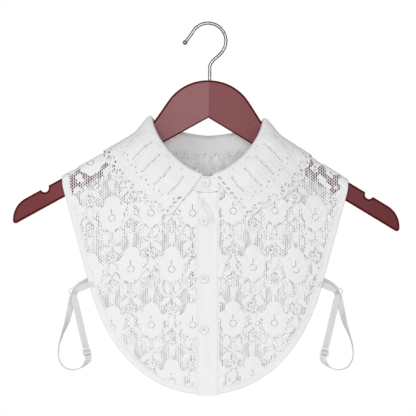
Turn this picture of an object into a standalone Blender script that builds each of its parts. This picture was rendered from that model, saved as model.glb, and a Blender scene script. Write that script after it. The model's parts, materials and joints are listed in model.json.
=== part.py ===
"""Detachable lace collar with a short buttoned front and back, hung on a flat wooden hanger.

Frame: the origin is the inner top of the hook, where a rail touches it. +X points to the
viewer's right, +Z up, and the buttoned front faces -Y. Sizes below are in millimetres.

Every cloth piece lies on one draped surface. A place on it is (x, q): x across the garment,
and q the length of cloth below the shoulder line, positive down the front and negative down
the back. drape() turns (x, q) into a point in space.
"""

import math

import bmesh
import bpy
import numpy as np
from mathutils import Matrix, Vector

MM = 0.001

# Seams and cloth
GAP = 0.3
SHOULDER_GAP = 0.5
ROW_GRADING = 1.8
NECK_GRADING = 1.4
PANEL_ROWS = 14
LACE_WALL = 1.2
BINDING_WALL = 2.0
BAND_WALL = 1.9
STAND_WALL = 1.3
FALL_WALL = 1.2
ELASTIC_WALL = 1.0

# Hanger: two flat arms glued at the middle, seen from the front before it tilts.
# Its own origin is the top of the crown, x to the side and drop downwards.
HANGER_X = 1.2
HANGER_TOP_Z = -64.1
HANGER_THICK = 12.0
HANGER_EDGE_ROUND = 3.0
HANGER_TILT = 1.2
ARM_SLOPE = 30.0
ARM_WIDTH = 20.0
ARM_REACH = 222.6
CROWN_RADIUS = 55.0
CROWN_SLOPE = 56.0
CROWN_FOOT_X = 70.5
CROWN_FILLET = 12.0
UNDERSIDE_NOTCH_DROP = 43.0
NOSE_RADIUS = 28.0
NOSE_HEEL_RADIUS = 3.0
STRAP_NOTCH_X = 187.0
STRAP_NOTCH_RADIUS = 5.0

# Hook: one bent wire, from the ball at its open end round to the shank in the wood.
# HOOK_LEAD holds the (x, z) of the four Bezier points between the ball and the round.
WIRE_RADIUS = 1.95
HOOK_RADIUS = 20.5
HOOK_LEAD = ((-26.5, -20.4), (-24.6, -17.6), (-22.4, -14.4), (-21.9, -11.2))
HOOK_OPEN_ANGLE = 152.0
HOOK_BACK_ANGLE = -28.0
HOOK_BEND_PULL = 11.0
SHANK_X = HANGER_X + 0.7
SHANK_TOP_Z = -50.0
SHANK_BEND_PULL = 10.0
SHANK_DEPTH = 18.0
BALL = (
    ("beyond", "radius"),
    (2.6, 1.15),
    (1.9, 2.7),
    (0.0, 3.3),
)

# Draped surface
BODY_X = -2.8
RIDGE_LIFT = 2.4
ROOF_RADIUS_END = 10.0
ROOF_RADIUS_NECK = 22.0
ROOF_NECK_X = 70.0
ROOF_END_X = 128.0
ROOF_RISE = 70.0
EDGE_DEPTH = 11.5
BODY_HALF = 170.0
FRONT_NECK_DEPTH = 44.0
FRONT_HEM_DEPTH = 27.0
BACK_NECK_DEPTH = 38.0
BACK_HEM_DEPTH = 25.0

# Soft folds of the hanging lace: the side it is on (1 front, -1 back), the x of its
# middle, its width and its depth, negative for a trough
FOLDS = (
    ("side", "x", "width", "depth"),
    (1, -66.0, 26.0, -2.6),
    (1, 58.0, 24.0, -2.2),
    (1, -104.0, 22.0, 1.6),
    (1, 98.0, 22.0, 1.4),
    (-1, -48.0, 30.0, -2.4),
    (-1, 36.0, 26.0, -2.8),
    (-1, 88.0, 24.0, 1.6),
)
FOLD_TOP_Z = -200.0
FOLD_FULL_Z = -330.0

# Outline of the body, front and back alike, measured from its middle
SIDE_TOP_HALF = 167.2
SIDE_TOP_Z = -176.6
SIDE_END_HALF = 132.2
SIDE_END_Z = -303.5
HEM_Z = -424.0
HEM_SIDE_PULL = 60.0
HEM_MIDDLE_PULL = 75.0
TIP_ROUND = 7.0
BINDING_WIDTH = 8.6

# Neck
NECK_X = -0.8
SEAM_HALF = 75.0
SEAM_FRONT_Z = -193.0
SEAM_BACK_Z = -145.5
SEAM_POWER = 1.7
FOLD_HALF = 63.4
FOLD_SIDE_Z = -107.6
FOLD_FRONT_Z = -172.5
FOLD_BACK_Z = -127.0
FOLD_POWER = 1.57
FOLD_FRONT_DEPTH = 40.0
FOLD_BACK_DEPTH = 34.0
STAND_LAP_ANGLE = 10.0
STAND_LAP_START = 322.0
STAND_LAP_RUN = 22.0
STAND_TOP_DROP = 3.4
STAND_FOOT_LIFT = 0.4
STAND_FOOT_ROOM = 0.6

# Turned-down collar, one half from its front edge to the middle of the back
FALL_START_ANGLE = 4.5
FALL_FRONT_Q = 101.0
FALL_BACK_Q = -54.0
FALL_TIP_Q = 126.5
FALL_NAPE_Q = -120.0
FALL_REACH = 117.0
FALL_TIP_TURN = 17.5
FALL_SIDE_TURN = 85.0
FALL_LENGTH = 220.0
FALL_DEPTH = 60.0
FALL_ROWS = (0.0, 0.04, 0.14, 0.32, 0.55, 0.78, 1.0)
FALL_OVER_STAND = 2.9
FALL_OVER_LAP = 4.4
FALL_OVER_BODY = 2.3
FALL_LAP_SPREAD = 1.3
FALL_LANDS = 22.0
FALL_LANDING = 18.0
FALL_STEEP_SHARE = 0.4
FALL_ROLL = 4.0
SCALLOPS = 13
SCALLOP_RISE = 4.6
SCALLOP_COLUMNS = 4

# Cut-outs of the collar, ovals of a half length and a half width: a row along the front
# edge, and a fan in each scallop round a point OVAL_FAN_RISE above the edge
EDGE_OVALS = 7
EDGE_OVAL = (2.7, 2.0)
EDGE_OVAL_INSET = 4.6
EDGE_OVAL_FIRST = 7.5
EDGE_OVAL_PITCH = 7.1
EDGE_OVAL_TURN = 70.0
FAN_OVAL = (2.3, 1.25)
OVAL_FAN_RISE = 7.8
OVAL_FAN = (
    ("lean", "reach"),
    (-40.0, 5.6),
    (0.0, 6.6),
    (40.0, 5.6),
)

# Button band and buttons
BAND_X = -0.6
BAND_HALF = 12.9
BAND_TOP_DROP = 1.6
BAND_END_Z = -425.3
BUTTON_RADIUS = 5.3
BUTTON_THICK = 2.2
BUTTON_HOLE_RADIUS = 0.65
BUTTON_HOLE_OFFSET = 1.25
BUTTON_PROFILE = (
    ("radius", "height"),
    (0.0, 0.62),
    (0.52, 0.62),
    (0.7, 1.0),
    (0.9, 1.0),
    (1.0, 0.62),
    (1.0, 0.25),
    (0.8, 0.0),
    (0.0, 0.0),
)
BUTTONS = (
    ("name", "x", "z"),
    ("button_neck", -2.5, -183.2),
    ("button_top", -4.8, -226.4),
    ("button_middle", -4.5, -291.5),
    ("button_low", -4.5, -349.6),
)

# Side straps, measured outwards from the garment's middle
RING_OUT = 152.4
RING_Z = -307.4
RING_RADIUS = 4.4
RING_WIRE = 0.65
STRAP_Y = -13.0
SLIDER_OUT = 136.2
SLIDER_Z = -377.3
SLIDER_HALF_WIDTH = 5.0
SLIDER_BAR_STEP = 4.6
SLIDER_BAR = 0.65
SLIDER_CORNER = 1.6
ELASTIC_WIDTH = 7.2
TAB_WIDTH = 6.8
WIDTH_IN_RING = 3.6
RING_BEND = RING_WIRE + GAP + ELASTIC_WALL / 2 + 0.75
SLIDER_BEND = SLIDER_BAR + GAP + ELASTIC_WALL / 2 + 0.35
RUNS_APART = 0.85
FLARE_FROM_RING = 5.0
FLARE_APART = 1.3
TAB_RISE = 10.5
SEW_INSET = 4.0
SEW_ROOM = 1.0
BACK_END_Z = -293.4

# The elastic through the slider, counted in bar steps along it and in bends behind it:
# up behind the middle bar to the ring, and back down in front, round both outer windows
WEAVE_UP = (
    ("steps", "bends", "extra"),
    (0.5, 1, 0.7),
    (1.0, 2, 0.2),
    (1.5, 2, 0.0),
    (2.4, 0, 1.7),
    (3.5, 0, 0.85),
)
WEAVE_DOWN = (
    ("steps", "bends", "extra"),
    (3.2, 0, -0.7),
    (2.2, 0, 0.4),
    (1.5, 1, 0.0),
    (1.0, 1, 0.15),
    (0.72, 1, -0.5),
    (0.5, 0, 0.0),
    (0.38, -1, 0.0),
    (0.15, -2, 0.0),
    (-0.15, -2, 0.0),
    (-0.38, -1, 0.0),
    (-0.5, 0, 0.0),
    (-0.72, 1, -0.5),
    (-1.0, 1, 0.15),
    (-1.6, 1, 0.5),
)

# The loose loop of the elastic, from the slider round and up behind to the back's binding,
# where its end is sewn in at BACK_END_Z. turn is 0 where its flat side faces the front and
# 1 where it faces sideways; level is 0 where it runs up and down and 1 where it runs across.
LOOP = (
    ("out", "y", "z", "turn", "level"),
    (136.6, -9.6, -388.2, 0.25, 0.0),
    (142.0, -8.4, -393.6, 0.7, 0.0),
    (150.0, -7.6, -397.0, 1.0, 0.0),
    (159.0, -6.6, -396.2, 1.0, 0.0),
    (166.0, -5.2, -391.0, 1.0, 0.0),
    (169.6, -3.4, -382.0, 1.0, 0.0),
    (169.2, -1.0, -370.0, 0.95, 0.0),
    (165.6, 1.6, -357.0, 0.8, 0.0),
    (160.8, 4.2, -344.0, 0.5, 0.0),
    (157.2, 6.6, -330.0, 0.2, 0.0),
    (154.4, 8.8, -316.0, 0.0, 0.15),
    (149.0, 11.0, -304.0, 0.0, 0.5),
    (141.5, 13.2, -298.2, 0.0, 0.9),
)


def smooth(t):
    """0 below 0, 1 above 1, with level ends."""
    t = np.clip(t, 0.0, 1.0)
    return t * t * (3.0 - 2.0 * t)


def mix(a, b, t):
    return a + (b - a) * t


def rows(table):
    """The rows of a table with named columns, as dictionaries."""
    return [dict(zip(table[0], row)) for row in table[1:]]


# The draped surface


def ridge_z(x):
    """Height of the shoulder line: RIDGE_LIFT over the tilted arms' top edges."""
    tilt = math.radians(HANGER_TILT)
    meet = UNDERSIDE_NOTCH_DROP - ARM_WIDTH / math.cos(math.radians(ARM_SLOPE))
    meet_x = HANGER_X - meet * math.sin(tilt)
    meet_z = HANGER_TOP_Z - meet * math.cos(tilt)
    slope = np.tan(np.radians(ARM_SLOPE + np.sign(x - meet_x) * HANGER_TILT))
    return meet_z + RIDGE_LIFT - slope * np.abs(x - meet_x)


def roof_radius(x):
    near = smooth((ROOF_END_X - np.abs(x - BODY_X)) / (ROOF_END_X - ROOF_NECK_X))
    return mix(ROOF_RADIUS_END, ROOF_RADIUS_NECK, near)


def fold_relief(x, z, side):
    """The soft folds, which grow from the chest to the hem."""
    grown = smooth((FOLD_TOP_Z - z) / (FOLD_TOP_Z - FOLD_FULL_Z))
    relief = np.zeros_like(x + z)
    for fold in rows(FOLDS):
        ridge = fold["depth"] * np.exp(-(((x - BODY_X - fold["x"]) / fold["width"]) ** 2))
        relief = relief + np.where(side == fold["side"], ridge, 0.0)
    return relief * grown


def body_depth(x, z, side):
    """How far the hanging cloth stands from the hanger's middle plane."""
    t = (SEAM_FRONT_Z - z) / (SEAM_FRONT_Z - HEM_Z)
    front = mix(FRONT_NECK_DEPTH, FRONT_HEM_DEPTH, t)
    back = mix(BACK_NECK_DEPTH, BACK_HEM_DEPTH, t)
    middle = np.where(side > 0, front, back)
    across = np.cos(np.clip(np.abs(x - BODY_X) / BODY_HALF, 0, 1) * math.pi / 2)
    return EDGE_DEPTH + (middle - EDGE_DEPTH) * across**1.2 + fold_relief(x, z, side)


def drape(x, q):
    """Points on the cloth's middle surface: round the shoulder line, then down a leg."""
    x, q = np.broadcast_arrays(np.asarray(x, float), np.asarray(q, float))
    side = np.where(q >= 0, 1.0, -1.0)
    radius = roof_radius(x)
    turn = np.minimum(np.abs(q) / radius, math.pi / 2)
    down = radius * (1 - np.cos(turn)) + np.maximum(np.abs(q) - radius * math.pi / 2, 0)
    z = ridge_z(x) - down
    out = radius * np.sin(turn) + (body_depth(x, z, side) - radius) * smooth(down / ROOF_RISE)
    return np.stack([x, -side * out, z], axis=-1)


def q_at(x, z, side=1):
    """The q of a place on the front or back at a height."""
    radius = roof_radius(x)
    down = np.maximum(ridge_z(x) - z, 0.0)
    turned = radius * np.arccos(np.clip(1 - down / radius, -1, 1))
    return side * np.where(down < radius, turned, down + radius * (math.pi / 2 - 1))


def outward(x, q, step=0.5):
    """Unit normals of the draped surface, pointing away from the body."""
    across = drape(x + step, q) - drape(x - step, q)
    down = drape(x, q + step) - drape(x, q - step)
    normal = np.cross(down, across)
    return normal / np.linalg.norm(normal, axis=-1, keepdims=True)


# Outlines


def resample(points, count, power=1.0):
    """The same polyline with equal steps along its length, or closer ones at its start."""
    steps = np.linalg.norm(np.diff(points, axis=0), axis=1)
    length = np.concatenate([[0.0], np.cumsum(steps)])
    at = np.linspace(0, 1, count) ** power * length[-1]
    return np.stack([np.interp(at, length, points[:, k]) for k in range(points.shape[1])], 1)


def bezier(a, b, c, d, count):
    t = np.linspace(0, 1, count)[:, None]
    a, b, c, d = (np.asarray(p, float) for p in (a, b, c, d))
    return a * (1 - t) ** 3 + 3 * b * t * (1 - t) ** 2 + 3 * c * t * t * (1 - t) + d * t**3


def body_outline(hand, inset):
    """Side and hem of one half as (x, z), from the shoulder line down to the hem's middle.

    hand is 1 on the viewer's right and -1 on the left. The side is straight, the hem is one
    Bezier curve, and inset moves both inwards.
    """
    lean = (SIDE_TOP_HALF - SIDE_END_HALF) / (SIDE_TOP_Z - SIDE_END_Z)
    top_half = SIDE_TOP_HALF
    for _ in range(20):
        top_z = float(ridge_z(BODY_X + hand * top_half))
        top_half = SIDE_END_HALF + lean * (top_z - SIDE_END_Z)
    side = np.linspace((top_half, top_z), (SIDE_END_HALF, SIDE_END_Z), 30)
    run = np.array([-lean, -1.0]) / math.hypot(lean, 1.0) * HEM_SIDE_PULL
    corner = np.array([SIDE_END_HALF, SIDE_END_Z])
    hem = bezier(corner, corner + run, (HEM_MIDDLE_PULL, HEM_Z), (0, HEM_Z), 60)
    points = np.concatenate([side, hem[1:]])
    along = np.gradient(points, axis=0)
    along /= np.linalg.norm(along, axis=1, keepdims=True)
    points = points + np.stack([along[:, 1], -along[:, 0]], 1) * inset
    round_tip = np.exp(-((points[:, 1] - top_z) / TIP_ROUND) ** 2)
    points[:, 0] -= 2.0 * round_tip
    points[:, 0] = BODY_X + hand * points[:, 0]
    return points


def edge_line(hand, inset, side, stop_x):
    """The outline as (x, q) on the front or back, from the shoulder line to stop_x."""
    outline = body_outline(hand, inset)
    dense = resample(outline, 400)
    dense = dense[(dense[:, 0] - stop_x) * hand >= 0]
    foot = np.array([[stop_x, dense[-1, 1]]])
    dense = np.concatenate([dense, foot])
    q = q_at(dense[:, 0], dense[:, 1], side)
    q[0] = side * SHOULDER_GAP / 2
    return np.stack([dense[:, 0], q], 1)


def split_at_corner(line):
    """A side and hem line cut where the side becomes the hem."""
    dense = resample(line, 200)
    z = drape(dense[:, 0], dense[:, 1])[:, 2]
    at = int(np.argmin(np.abs(z - (SIDE_END_Z - 14.0))))
    return dense[: at + 1], dense[at:]


def seam_ring(angle, grow=0.0):
    """The neck seam as (x, q). angle runs in degrees from the middle of the front (0) by
    the viewer's right (90) to the middle of the back (180)."""
    turn = np.radians(angle)
    hand = np.where(np.sin(turn) >= 0, 1.0, -1.0)
    half = SEAM_HALF + grow
    x = NECK_X + half * np.sin(turn)
    side_z = ridge_z(NECK_X + hand * half)
    front = np.cos(turn) >= 0
    low = np.where(front, SEAM_FRONT_Z, SEAM_BACK_Z) - grow
    share = (1 - np.abs(np.sin(turn)) ** SEAM_POWER) ** (1 / SEAM_POWER)
    z = mix(side_z, low, share)
    return x, q_at(x, z, np.where(front, 1.0, -1.0))


def fold_ring(angle):
    """The collar's fold, in space."""
    turn = np.radians(angle)
    front = np.cos(turn) >= 0
    share = (1 - np.abs(np.sin(turn)) ** FOLD_POWER) ** (1 / FOLD_POWER)
    low = np.where(front, FOLD_FRONT_Z, FOLD_BACK_Z)
    depth = np.where(front, FOLD_FRONT_DEPTH, FOLD_BACK_DEPTH)
    offset = FOLD_HALF * np.sin(turn)
    z = mix(FOLD_SIDE_Z, low, share) - offset * math.tan(math.radians(HANGER_TILT))
    return np.stack([NECK_X + offset, -depth * np.cos(turn), z], axis=-1)


# Meshes


def add_object(name, mesh, material):
    made = bpy.data.objects.new(name, mesh)
    mesh.materials.append(material)
    bpy.data.collections["lace_collar"].objects.link(made)
    return made


def mesh_from(name, points, faces):
    mesh = bpy.data.meshes.new(name)
    mesh.from_pydata((np.asarray(points).reshape(-1, 3) * MM).tolist(), [], faces)
    mesh.validate()
    return mesh


def finished(build, name):
    """The mesh of a bmesh, which is freed."""
    mesh = bpy.data.meshes.new(name)
    build.to_mesh(mesh)
    build.free()
    return mesh


def add_cutter(name, mesh):
    """An object that only cuts others: not rendered, and shown as wire."""
    cutter = bpy.data.objects.new(name, mesh)
    bpy.data.collections["cutters"].objects.link(cutter)
    cutter.hide_render = True
    cutter.display_type = "WIRE"
    return cutter


def cut_with(made, cutter):
    cut = made.modifiers.new(cutter.name, "BOOLEAN")
    cut.object = cutter
    cut.solver = "EXACT"


def grid_faces(n_rows, n_columns, wrap=False):
    """Quads of a grid of points, row by row. wrap joins the last column to the first."""
    last = n_columns if wrap else n_columns - 1
    return [
        (
            r * n_columns + c,
            r * n_columns + (c + 1) % n_columns,
            (r + 1) * n_columns + (c + 1) % n_columns,
            (r + 1) * n_columns + c,
        )
        for r in range(n_rows - 1)
        for c in range(last)
    ]


def cloth(name, points, wall, material):
    """A cloth wall on a grid of middle points, rows by columns by 3."""
    mesh = mesh_from(name, points, grid_faces(points.shape[0], points.shape[1]))
    made = add_object(name, mesh, material)
    solid = made.modifiers.new("wall", "SOLIDIFY")
    solid.thickness = wall * MM
    solid.offset = 0.0
    solid.use_even_offset = True
    mesh.shade_smooth()
    return made


def patch(top, bottom, left, right):
    """A grid between four (x, q) edges: left and right run down, top and bottom across."""
    v = (np.linspace(0, 1, len(left)) ** ROW_GRADING)[:, None, None]
    u = np.linspace(0, 1, len(top))[None, :, None]
    corners = (
        (1 - u) * (1 - v) * top[0]
        + u * (1 - v) * top[-1]
        + (1 - u) * v * bottom[0]
        + u * v * bottom[-1]
    )
    ruled = (1 - v) * top[None] + v * bottom[None] + (1 - u) * left[:, None] + u * right[:, None]
    return ruled - corners


def toward_side(t):
    """0 to 1 with steps that close up towards the shoulder, where the seam bends most."""
    return 1 - (1 - np.abs(t)) ** NECK_GRADING


def neck_edge(angle):
    """The body's neck edge, as (x, q), just outside the stand's foot."""
    grow = STAND_WALL / 2 + GAP + STAND_FOOT_ROOM
    x, q = seam_ring(angle, grow)
    least = SHOULDER_GAP / 2
    q = np.where(np.abs(q) < least, np.where(q < 0, -least, least), q)
    return np.stack([x, q], 1)


def front_panel(name, hand, material):
    """One front: neck and shoulder along the top, side and hem outside, band inside."""
    band_edge = BAND_X + hand * (BAND_HALF + GAP)
    line = edge_line(hand, BINDING_WIDTH + 2 * GAP, 1, band_edge)
    side, hem = split_at_corner(line)
    start = math.degrees(math.asin((band_edge - NECK_X) * hand / SEAM_HALF))
    neck = neck_edge(hand * mix(start, 90.0, toward_side(np.linspace(0, 1, 10))))
    neck[0, 0] = band_edge
    neck[-1, 1] = SHOULDER_GAP / 2
    shoulder = np.linspace(neck[-1], side[0], 8)
    top = np.concatenate([neck, shoulder[1:]])
    hem = resample(hem, len(top))[::-1]
    side = resample(side, PANEL_ROWS, ROW_GRADING)
    inner = resample(np.array([top[0], hem[0]]), PANEL_ROWS, ROW_GRADING)
    flat = patch(top, hem, inner, side)
    return cloth(name, drape(flat[..., 0], flat[..., 1]), LACE_WALL, material)


def back_panel(material):
    """The back in one piece, from side to side."""
    sides = {}
    for hand in (-1, 1):
        line = edge_line(hand, BINDING_WIDTH + 2 * GAP, -1, BODY_X)
        sides[hand] = split_at_corner(line)
    across = np.linspace(-1, 1, 17)
    neck = neck_edge(180.0 - 90.0 * np.sign(across) * toward_side(across))
    neck[0, 1] = neck[-1, 1] = -SHOULDER_GAP / 2
    left, right = (np.linspace(sides[h][0][0], neck[e], 8) for h, e in ((-1, 0), (1, -1)))
    top = np.concatenate([left[:-1], neck, right[::-1][1:]])
    hem = np.concatenate([sides[-1][1], sides[1][1][::-1][1:]])
    hem = resample(hem, len(top))
    left, right = (resample(sides[hand][0], PANEL_ROWS, ROW_GRADING) for hand in (-1, 1))
    flat = patch(top, hem, left, right)
    return cloth("back_panel", drape(flat[..., 0], flat[..., 1]), LACE_WALL, material)


def binding(name, hand, material):
    """Bias binding round one half: front hem, side, over the shoulder, back side and hem."""
    band_edge = BAND_X + hand * (BAND_HALF + GAP)
    middle = BODY_X + hand * SHOULDER_GAP / 2
    rings = []
    for inset in np.linspace(0, BINDING_WIDTH, 3):
        front = edge_line(hand, inset, 1, band_edge)
        back = edge_line(hand, inset, -1, middle)
        front = resample(front, 33, ROW_GRADING)
        back = resample(back, 33, ROW_GRADING)
        front[0, 1] = back[0, 1] = 0.0
        rings.append(np.concatenate([front[::-1], back[1:]]))
    flat = np.stack(rings, 0)
    return cloth(name, drape(flat[..., 0], flat[..., 1]), BINDING_WALL, material)


def button_band(material):
    z = np.linspace(SEAM_FRONT_Z - BAND_TOP_DROP, BAND_END_Z, 26)[:, None]
    x = BAND_X + np.linspace(-BAND_HALF, BAND_HALF, 5)[None, :]
    return cloth("button_band", drape(x, q_at(x, z)), BAND_WALL, material)


def stand_points(angle, share, lift=0.0):
    """Points on the standing collar: share 0 at the neck seam, 1 at the fold."""
    foot = drape(*seam_ring(angle))
    head = fold_ring(angle)
    up = (head - foot) / np.linalg.norm(head - foot, axis=-1, keepdims=True)
    foot = foot + up * STAND_FOOT_LIFT
    turn = np.radians(angle)
    level = np.stack([np.sin(turn), -np.cos(turn), np.zeros_like(turn)], axis=-1)
    out = level - up * np.sum(level * up, axis=-1, keepdims=True)
    out /= np.linalg.norm(out, axis=-1, keepdims=True)
    return foot + (head - foot) * share + out * lift


def stand_lift(angle):
    """The lapping end lies over the other one at the middle of the front."""
    return (STAND_WALL + GAP + 0.1) * smooth((angle - STAND_LAP_START) / STAND_LAP_RUN)


def collar_stand(material):
    angle = np.linspace(-STAND_LAP_ANGLE, 360 + STAND_LAP_ANGLE, 65)[None, :]
    height = np.linalg.norm(fold_ring(angle) - drape(*seam_ring(angle)), axis=-1)
    share = np.linspace(0, 1, 4)[:, None] * (1 - STAND_TOP_DROP / height)
    lift = stand_lift(angle)[..., None]
    return cloth("collar_stand", stand_points(angle, share[..., None], lift), STAND_WALL, material)


# Turned-down collar


def fall_points(hand, along, down, out):
    """Places in the flat collar half, in space.

    along is 0 at the front edge and FALL_LENGTH at the middle of the back, down is 0 at the
    fold and FALL_DEPTH at the scallops' valleys, and out is the height over the middle layer.
    """
    angle = mix(FALL_START_ANGLE, 180.0, along / FALL_LENGTH)
    turn = np.radians(angle)
    front = angle <= 90
    t = down / FALL_DEPTH
    fold_x = FOLD_HALF * np.sin(turn)
    fold_q = np.where(front, FALL_FRONT_Q, FALL_BACK_Q) * np.cos(turn) ** 2
    edge_q = np.where(
        front,
        FALL_TIP_Q * (90 - angle) / (90 - FALL_START_ANGLE),
        FALL_NAPE_Q * (angle - 90) / 90,
    )
    edge_turn = np.where(
        front,
        mix(FALL_TIP_TURN, FALL_SIDE_TURN, angle / 90),
        mix(FALL_SIDE_TURN, 180.0, (angle - 90) / 90),
    )
    edge_x = FALL_REACH * np.sin(np.radians(edge_turn))
    x = NECK_X + hand * mix(fold_x, edge_x, t)
    q = mix(fold_q, edge_q, t)
    fold = fold_ring(hand * angle)
    rise = fold - drape(NECK_X + hand * fold_x, fold_q)
    base = drape(x, q) + rise * (1 - smooth(t / FALL_STEEP_SHARE))[:, None]
    roll = np.sqrt(1 - (1 - np.clip(down / FALL_ROLL, 0, 1)) ** 2)
    lapped = np.where(front, np.cos(turn) ** 2, 0.0)
    over = mix(FALL_OVER_STAND, FALL_OVER_LAP, smooth(lapped * FALL_LAP_SPREAD))
    over = mix(over, FALL_OVER_BODY, smooth((down - FALL_LANDS) / FALL_LANDING)) * roll
    return base + outward(x, q) * (over + out)[:, None]


def scallop_depth(along):
    """Length of the collar from fold to edge, with round scallops."""
    wave = np.abs(np.sin(along / FALL_LENGTH * SCALLOPS * math.pi))
    return FALL_DEPTH - SCALLOP_RISE / 2 + SCALLOP_RISE * np.sqrt(wave)


def fall_holes():
    """Cut-outs of one half: along, down, (half length, half width), angle in degrees."""
    holes = []
    for k in range(EDGE_OVALS):
        down = EDGE_OVAL_FIRST + EDGE_OVAL_PITCH * k
        holes.append((EDGE_OVAL_INSET, down, EDGE_OVAL, EDGE_OVAL_TURN))
    for k in range(SCALLOPS):
        middle = (k + 0.5) * FALL_LENGTH / SCALLOPS
        for spoke in rows(OVAL_FAN):
            turn = math.radians(spoke["lean"])
            along = middle + spoke["reach"] * math.sin(turn)
            down = FALL_DEPTH - OVAL_FAN_RISE + spoke["reach"] * math.cos(turn)
            holes.append((along, down, FAN_OVAL, 90.0 - spoke["lean"]))
    return holes


def hole_cutter(name, holes):
    """Six-sided prisms through the flat collar half."""
    build = bmesh.new()
    for along, down, (long_half, wide_half), lean in holes:
        turn = math.radians(lean)
        ring = []
        for k in range(6):
            a = long_half * math.cos(math.radians(60 * k))
            b = wide_half * math.sin(math.radians(60 * k)) / math.sin(math.radians(60))
            x = along + a * math.cos(turn) - b * math.sin(turn)
            y = down + a * math.sin(turn) + b * math.cos(turn)
            ring.append(build.verts.new((x * MM, y * MM, -3 * FALL_WALL * MM)))
        face = build.faces.new(ring)
        grown = bmesh.ops.extrude_face_region(build, geom=[face])["geom"]
        lifted = [g for g in grown if isinstance(g, bmesh.types.BMVert)]
        bmesh.ops.translate(build, verts=lifted, vec=(0, 0, 6 * FALL_WALL * MM))
    bmesh.ops.recalc_face_normals(build, faces=build.faces)
    return add_cutter(name, finished(build, name))


def collar_fall(name, hand, material):
    """One half: a flat scalloped slab, its cut-outs, then laid over the stand and shoulder."""
    columns = SCALLOPS * SCALLOP_COLUMNS + 1
    along = np.linspace(0, FALL_LENGTH - GAP / 2, columns)[None, :]
    share = np.array(FALL_ROWS)[:, None]
    down = scallop_depth(along) * share
    flat = np.stack([along + 0 * share, down, 0 * down - FALL_WALL / 2], axis=-1)
    faces = grid_faces(len(share), columns)
    slab = add_object(name, mesh_from(name, flat, faces), material)
    wall = slab.modifiers.new("wall", "SOLIDIFY")
    wall.thickness = FALL_WALL * MM
    wall.offset = 1.0
    cut_with(slab, hole_cutter(name + "_cutouts", fall_holes()))
    bpy.context.view_layer.update()
    shape = bpy.data.meshes.new_from_object(
        slab.evaluated_get(bpy.context.evaluated_depsgraph_get())
    )
    build = bmesh.new()
    build.from_mesh(shape)
    bmesh.ops.triangulate(build, faces=build.faces)
    bmesh.ops.dissolve_degenerate(build, dist=1e-6, edges=build.edges)
    places = np.array([v.co[:] for v in build.verts]) / MM
    middle = places[:, 2].mean()
    laid = fall_points(hand, places[:, 0], places[:, 1], places[:, 2] - middle)
    for vertex, point in zip(build.verts, laid):
        vertex.co = point * MM
    if build.calc_volume(signed=True) < 0:
        bmesh.ops.reverse_faces(build, faces=build.faces)
    build.to_mesh(shape)
    build.free()
    slab.modifiers.clear()
    slab.data = shape
    return slab


# Buttons, straps and their fittings


def place_on(made, point, normal):
    """Puts an object's origin on a point with its +Z along a direction."""
    made.location = Vector(point * MM)
    made.rotation_mode = "QUATERNION"
    made.rotation_quaternion = Vector(normal).to_track_quat("Z", "Y")


def button_mesh():
    """A turned button with a raised rim, before its sewing holes are cut."""
    build = bmesh.new()
    ring = []
    for place in rows(BUTTON_PROFILE):
        x, z = place["radius"] * BUTTON_RADIUS, place["height"] * BUTTON_THICK
        ring.append(build.verts.new((x * MM, 0, z * MM)))
    edges = [build.edges.new(pair) for pair in zip(ring, ring[1:])]
    bmesh.ops.spin(
        build,
        geom=ring + edges,
        axis=(0, 0, 1),
        cent=(0, 0, 0),
        angle=2 * math.pi,
        steps=12,
    )
    bmesh.ops.remove_doubles(build, verts=build.verts, dist=1e-6)
    bmesh.ops.recalc_face_normals(build, faces=build.faces)
    return finished(build, "button")


def buttons(material):
    """Four buttons: one on the stand's lapping end and three down the band."""
    holes = bmesh.new()
    for k in range(4):
        turn = math.radians(45 + 90 * k)
        made = bmesh.ops.create_cone(
            holes,
            cap_ends=True,
            segments=6,
            radius1=BUTTON_HOLE_RADIUS * MM,
            radius2=BUTTON_HOLE_RADIUS * MM,
            depth=3 * BUTTON_THICK * MM,
        )
        reach = BUTTON_HOLE_OFFSET * MM
        shift = (reach * math.cos(turn), reach * math.sin(turn), 0)
        bmesh.ops.translate(holes, verts=made["verts"], vec=shift)
    cutter_mesh = finished(holes, "button_holes")
    for spec in rows(BUTTONS):
        x, q = spec["x"], float(q_at(spec["x"], spec["z"]))
        made = add_object(spec["name"], button_mesh(), material)
        if spec["z"] > SEAM_FRONT_Z:
            angle = np.array([360 + math.degrees(math.asin((x - NECK_X) / FOLD_HALF))])
            foot, head = drape(*seam_ring(angle))[0], fold_ring(angle)[0]
            share = (spec["z"] - foot[2]) / (head[2] - foot[2])
            normal = stand_points(angle, share, 1.0)[0] - stand_points(angle, share, 0.0)[0]
            lift = stand_lift(360.0) + STAND_WALL / 2 + 2 * GAP
            point = stand_points(angle, share, lift)[0]
        else:
            normal = outward(x, q)
            point = drape(x, q) + normal * (BAND_WALL / 2 + GAP)
        place_on(made, point, normal)
        cutter = add_cutter(spec["name"] + "_holes", cutter_mesh)
        cutter.parent = made
        cut_with(made, cutter)


def ribbon(name, points, across, width, material):
    """A flat elastic strip along points; across gives the direction its width lies in."""
    points = np.asarray(points, float)
    along = np.gradient(points, axis=0)
    along /= np.linalg.norm(along, axis=1, keepdims=True)
    across = across - along * np.sum(across * along, axis=1, keepdims=True)
    across /= np.linalg.norm(across, axis=1, keepdims=True)
    half = np.reshape(width, (-1, 1)) / 2
    grid = np.stack([points - across * half, points + across * half], 0)
    return cloth(name, grid, ELASTIC_WALL, material)


def strap_frame(hand):
    """Directions of one side strap: up along the front run, across it, and to the back."""
    up = np.array([hand * (RING_OUT - SLIDER_OUT), 0.0, RING_Z - SLIDER_Z])
    up /= np.linalg.norm(up)
    back = np.array([0.0, 1.0, 0.0])
    return up, np.cross(up, back), back


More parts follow.
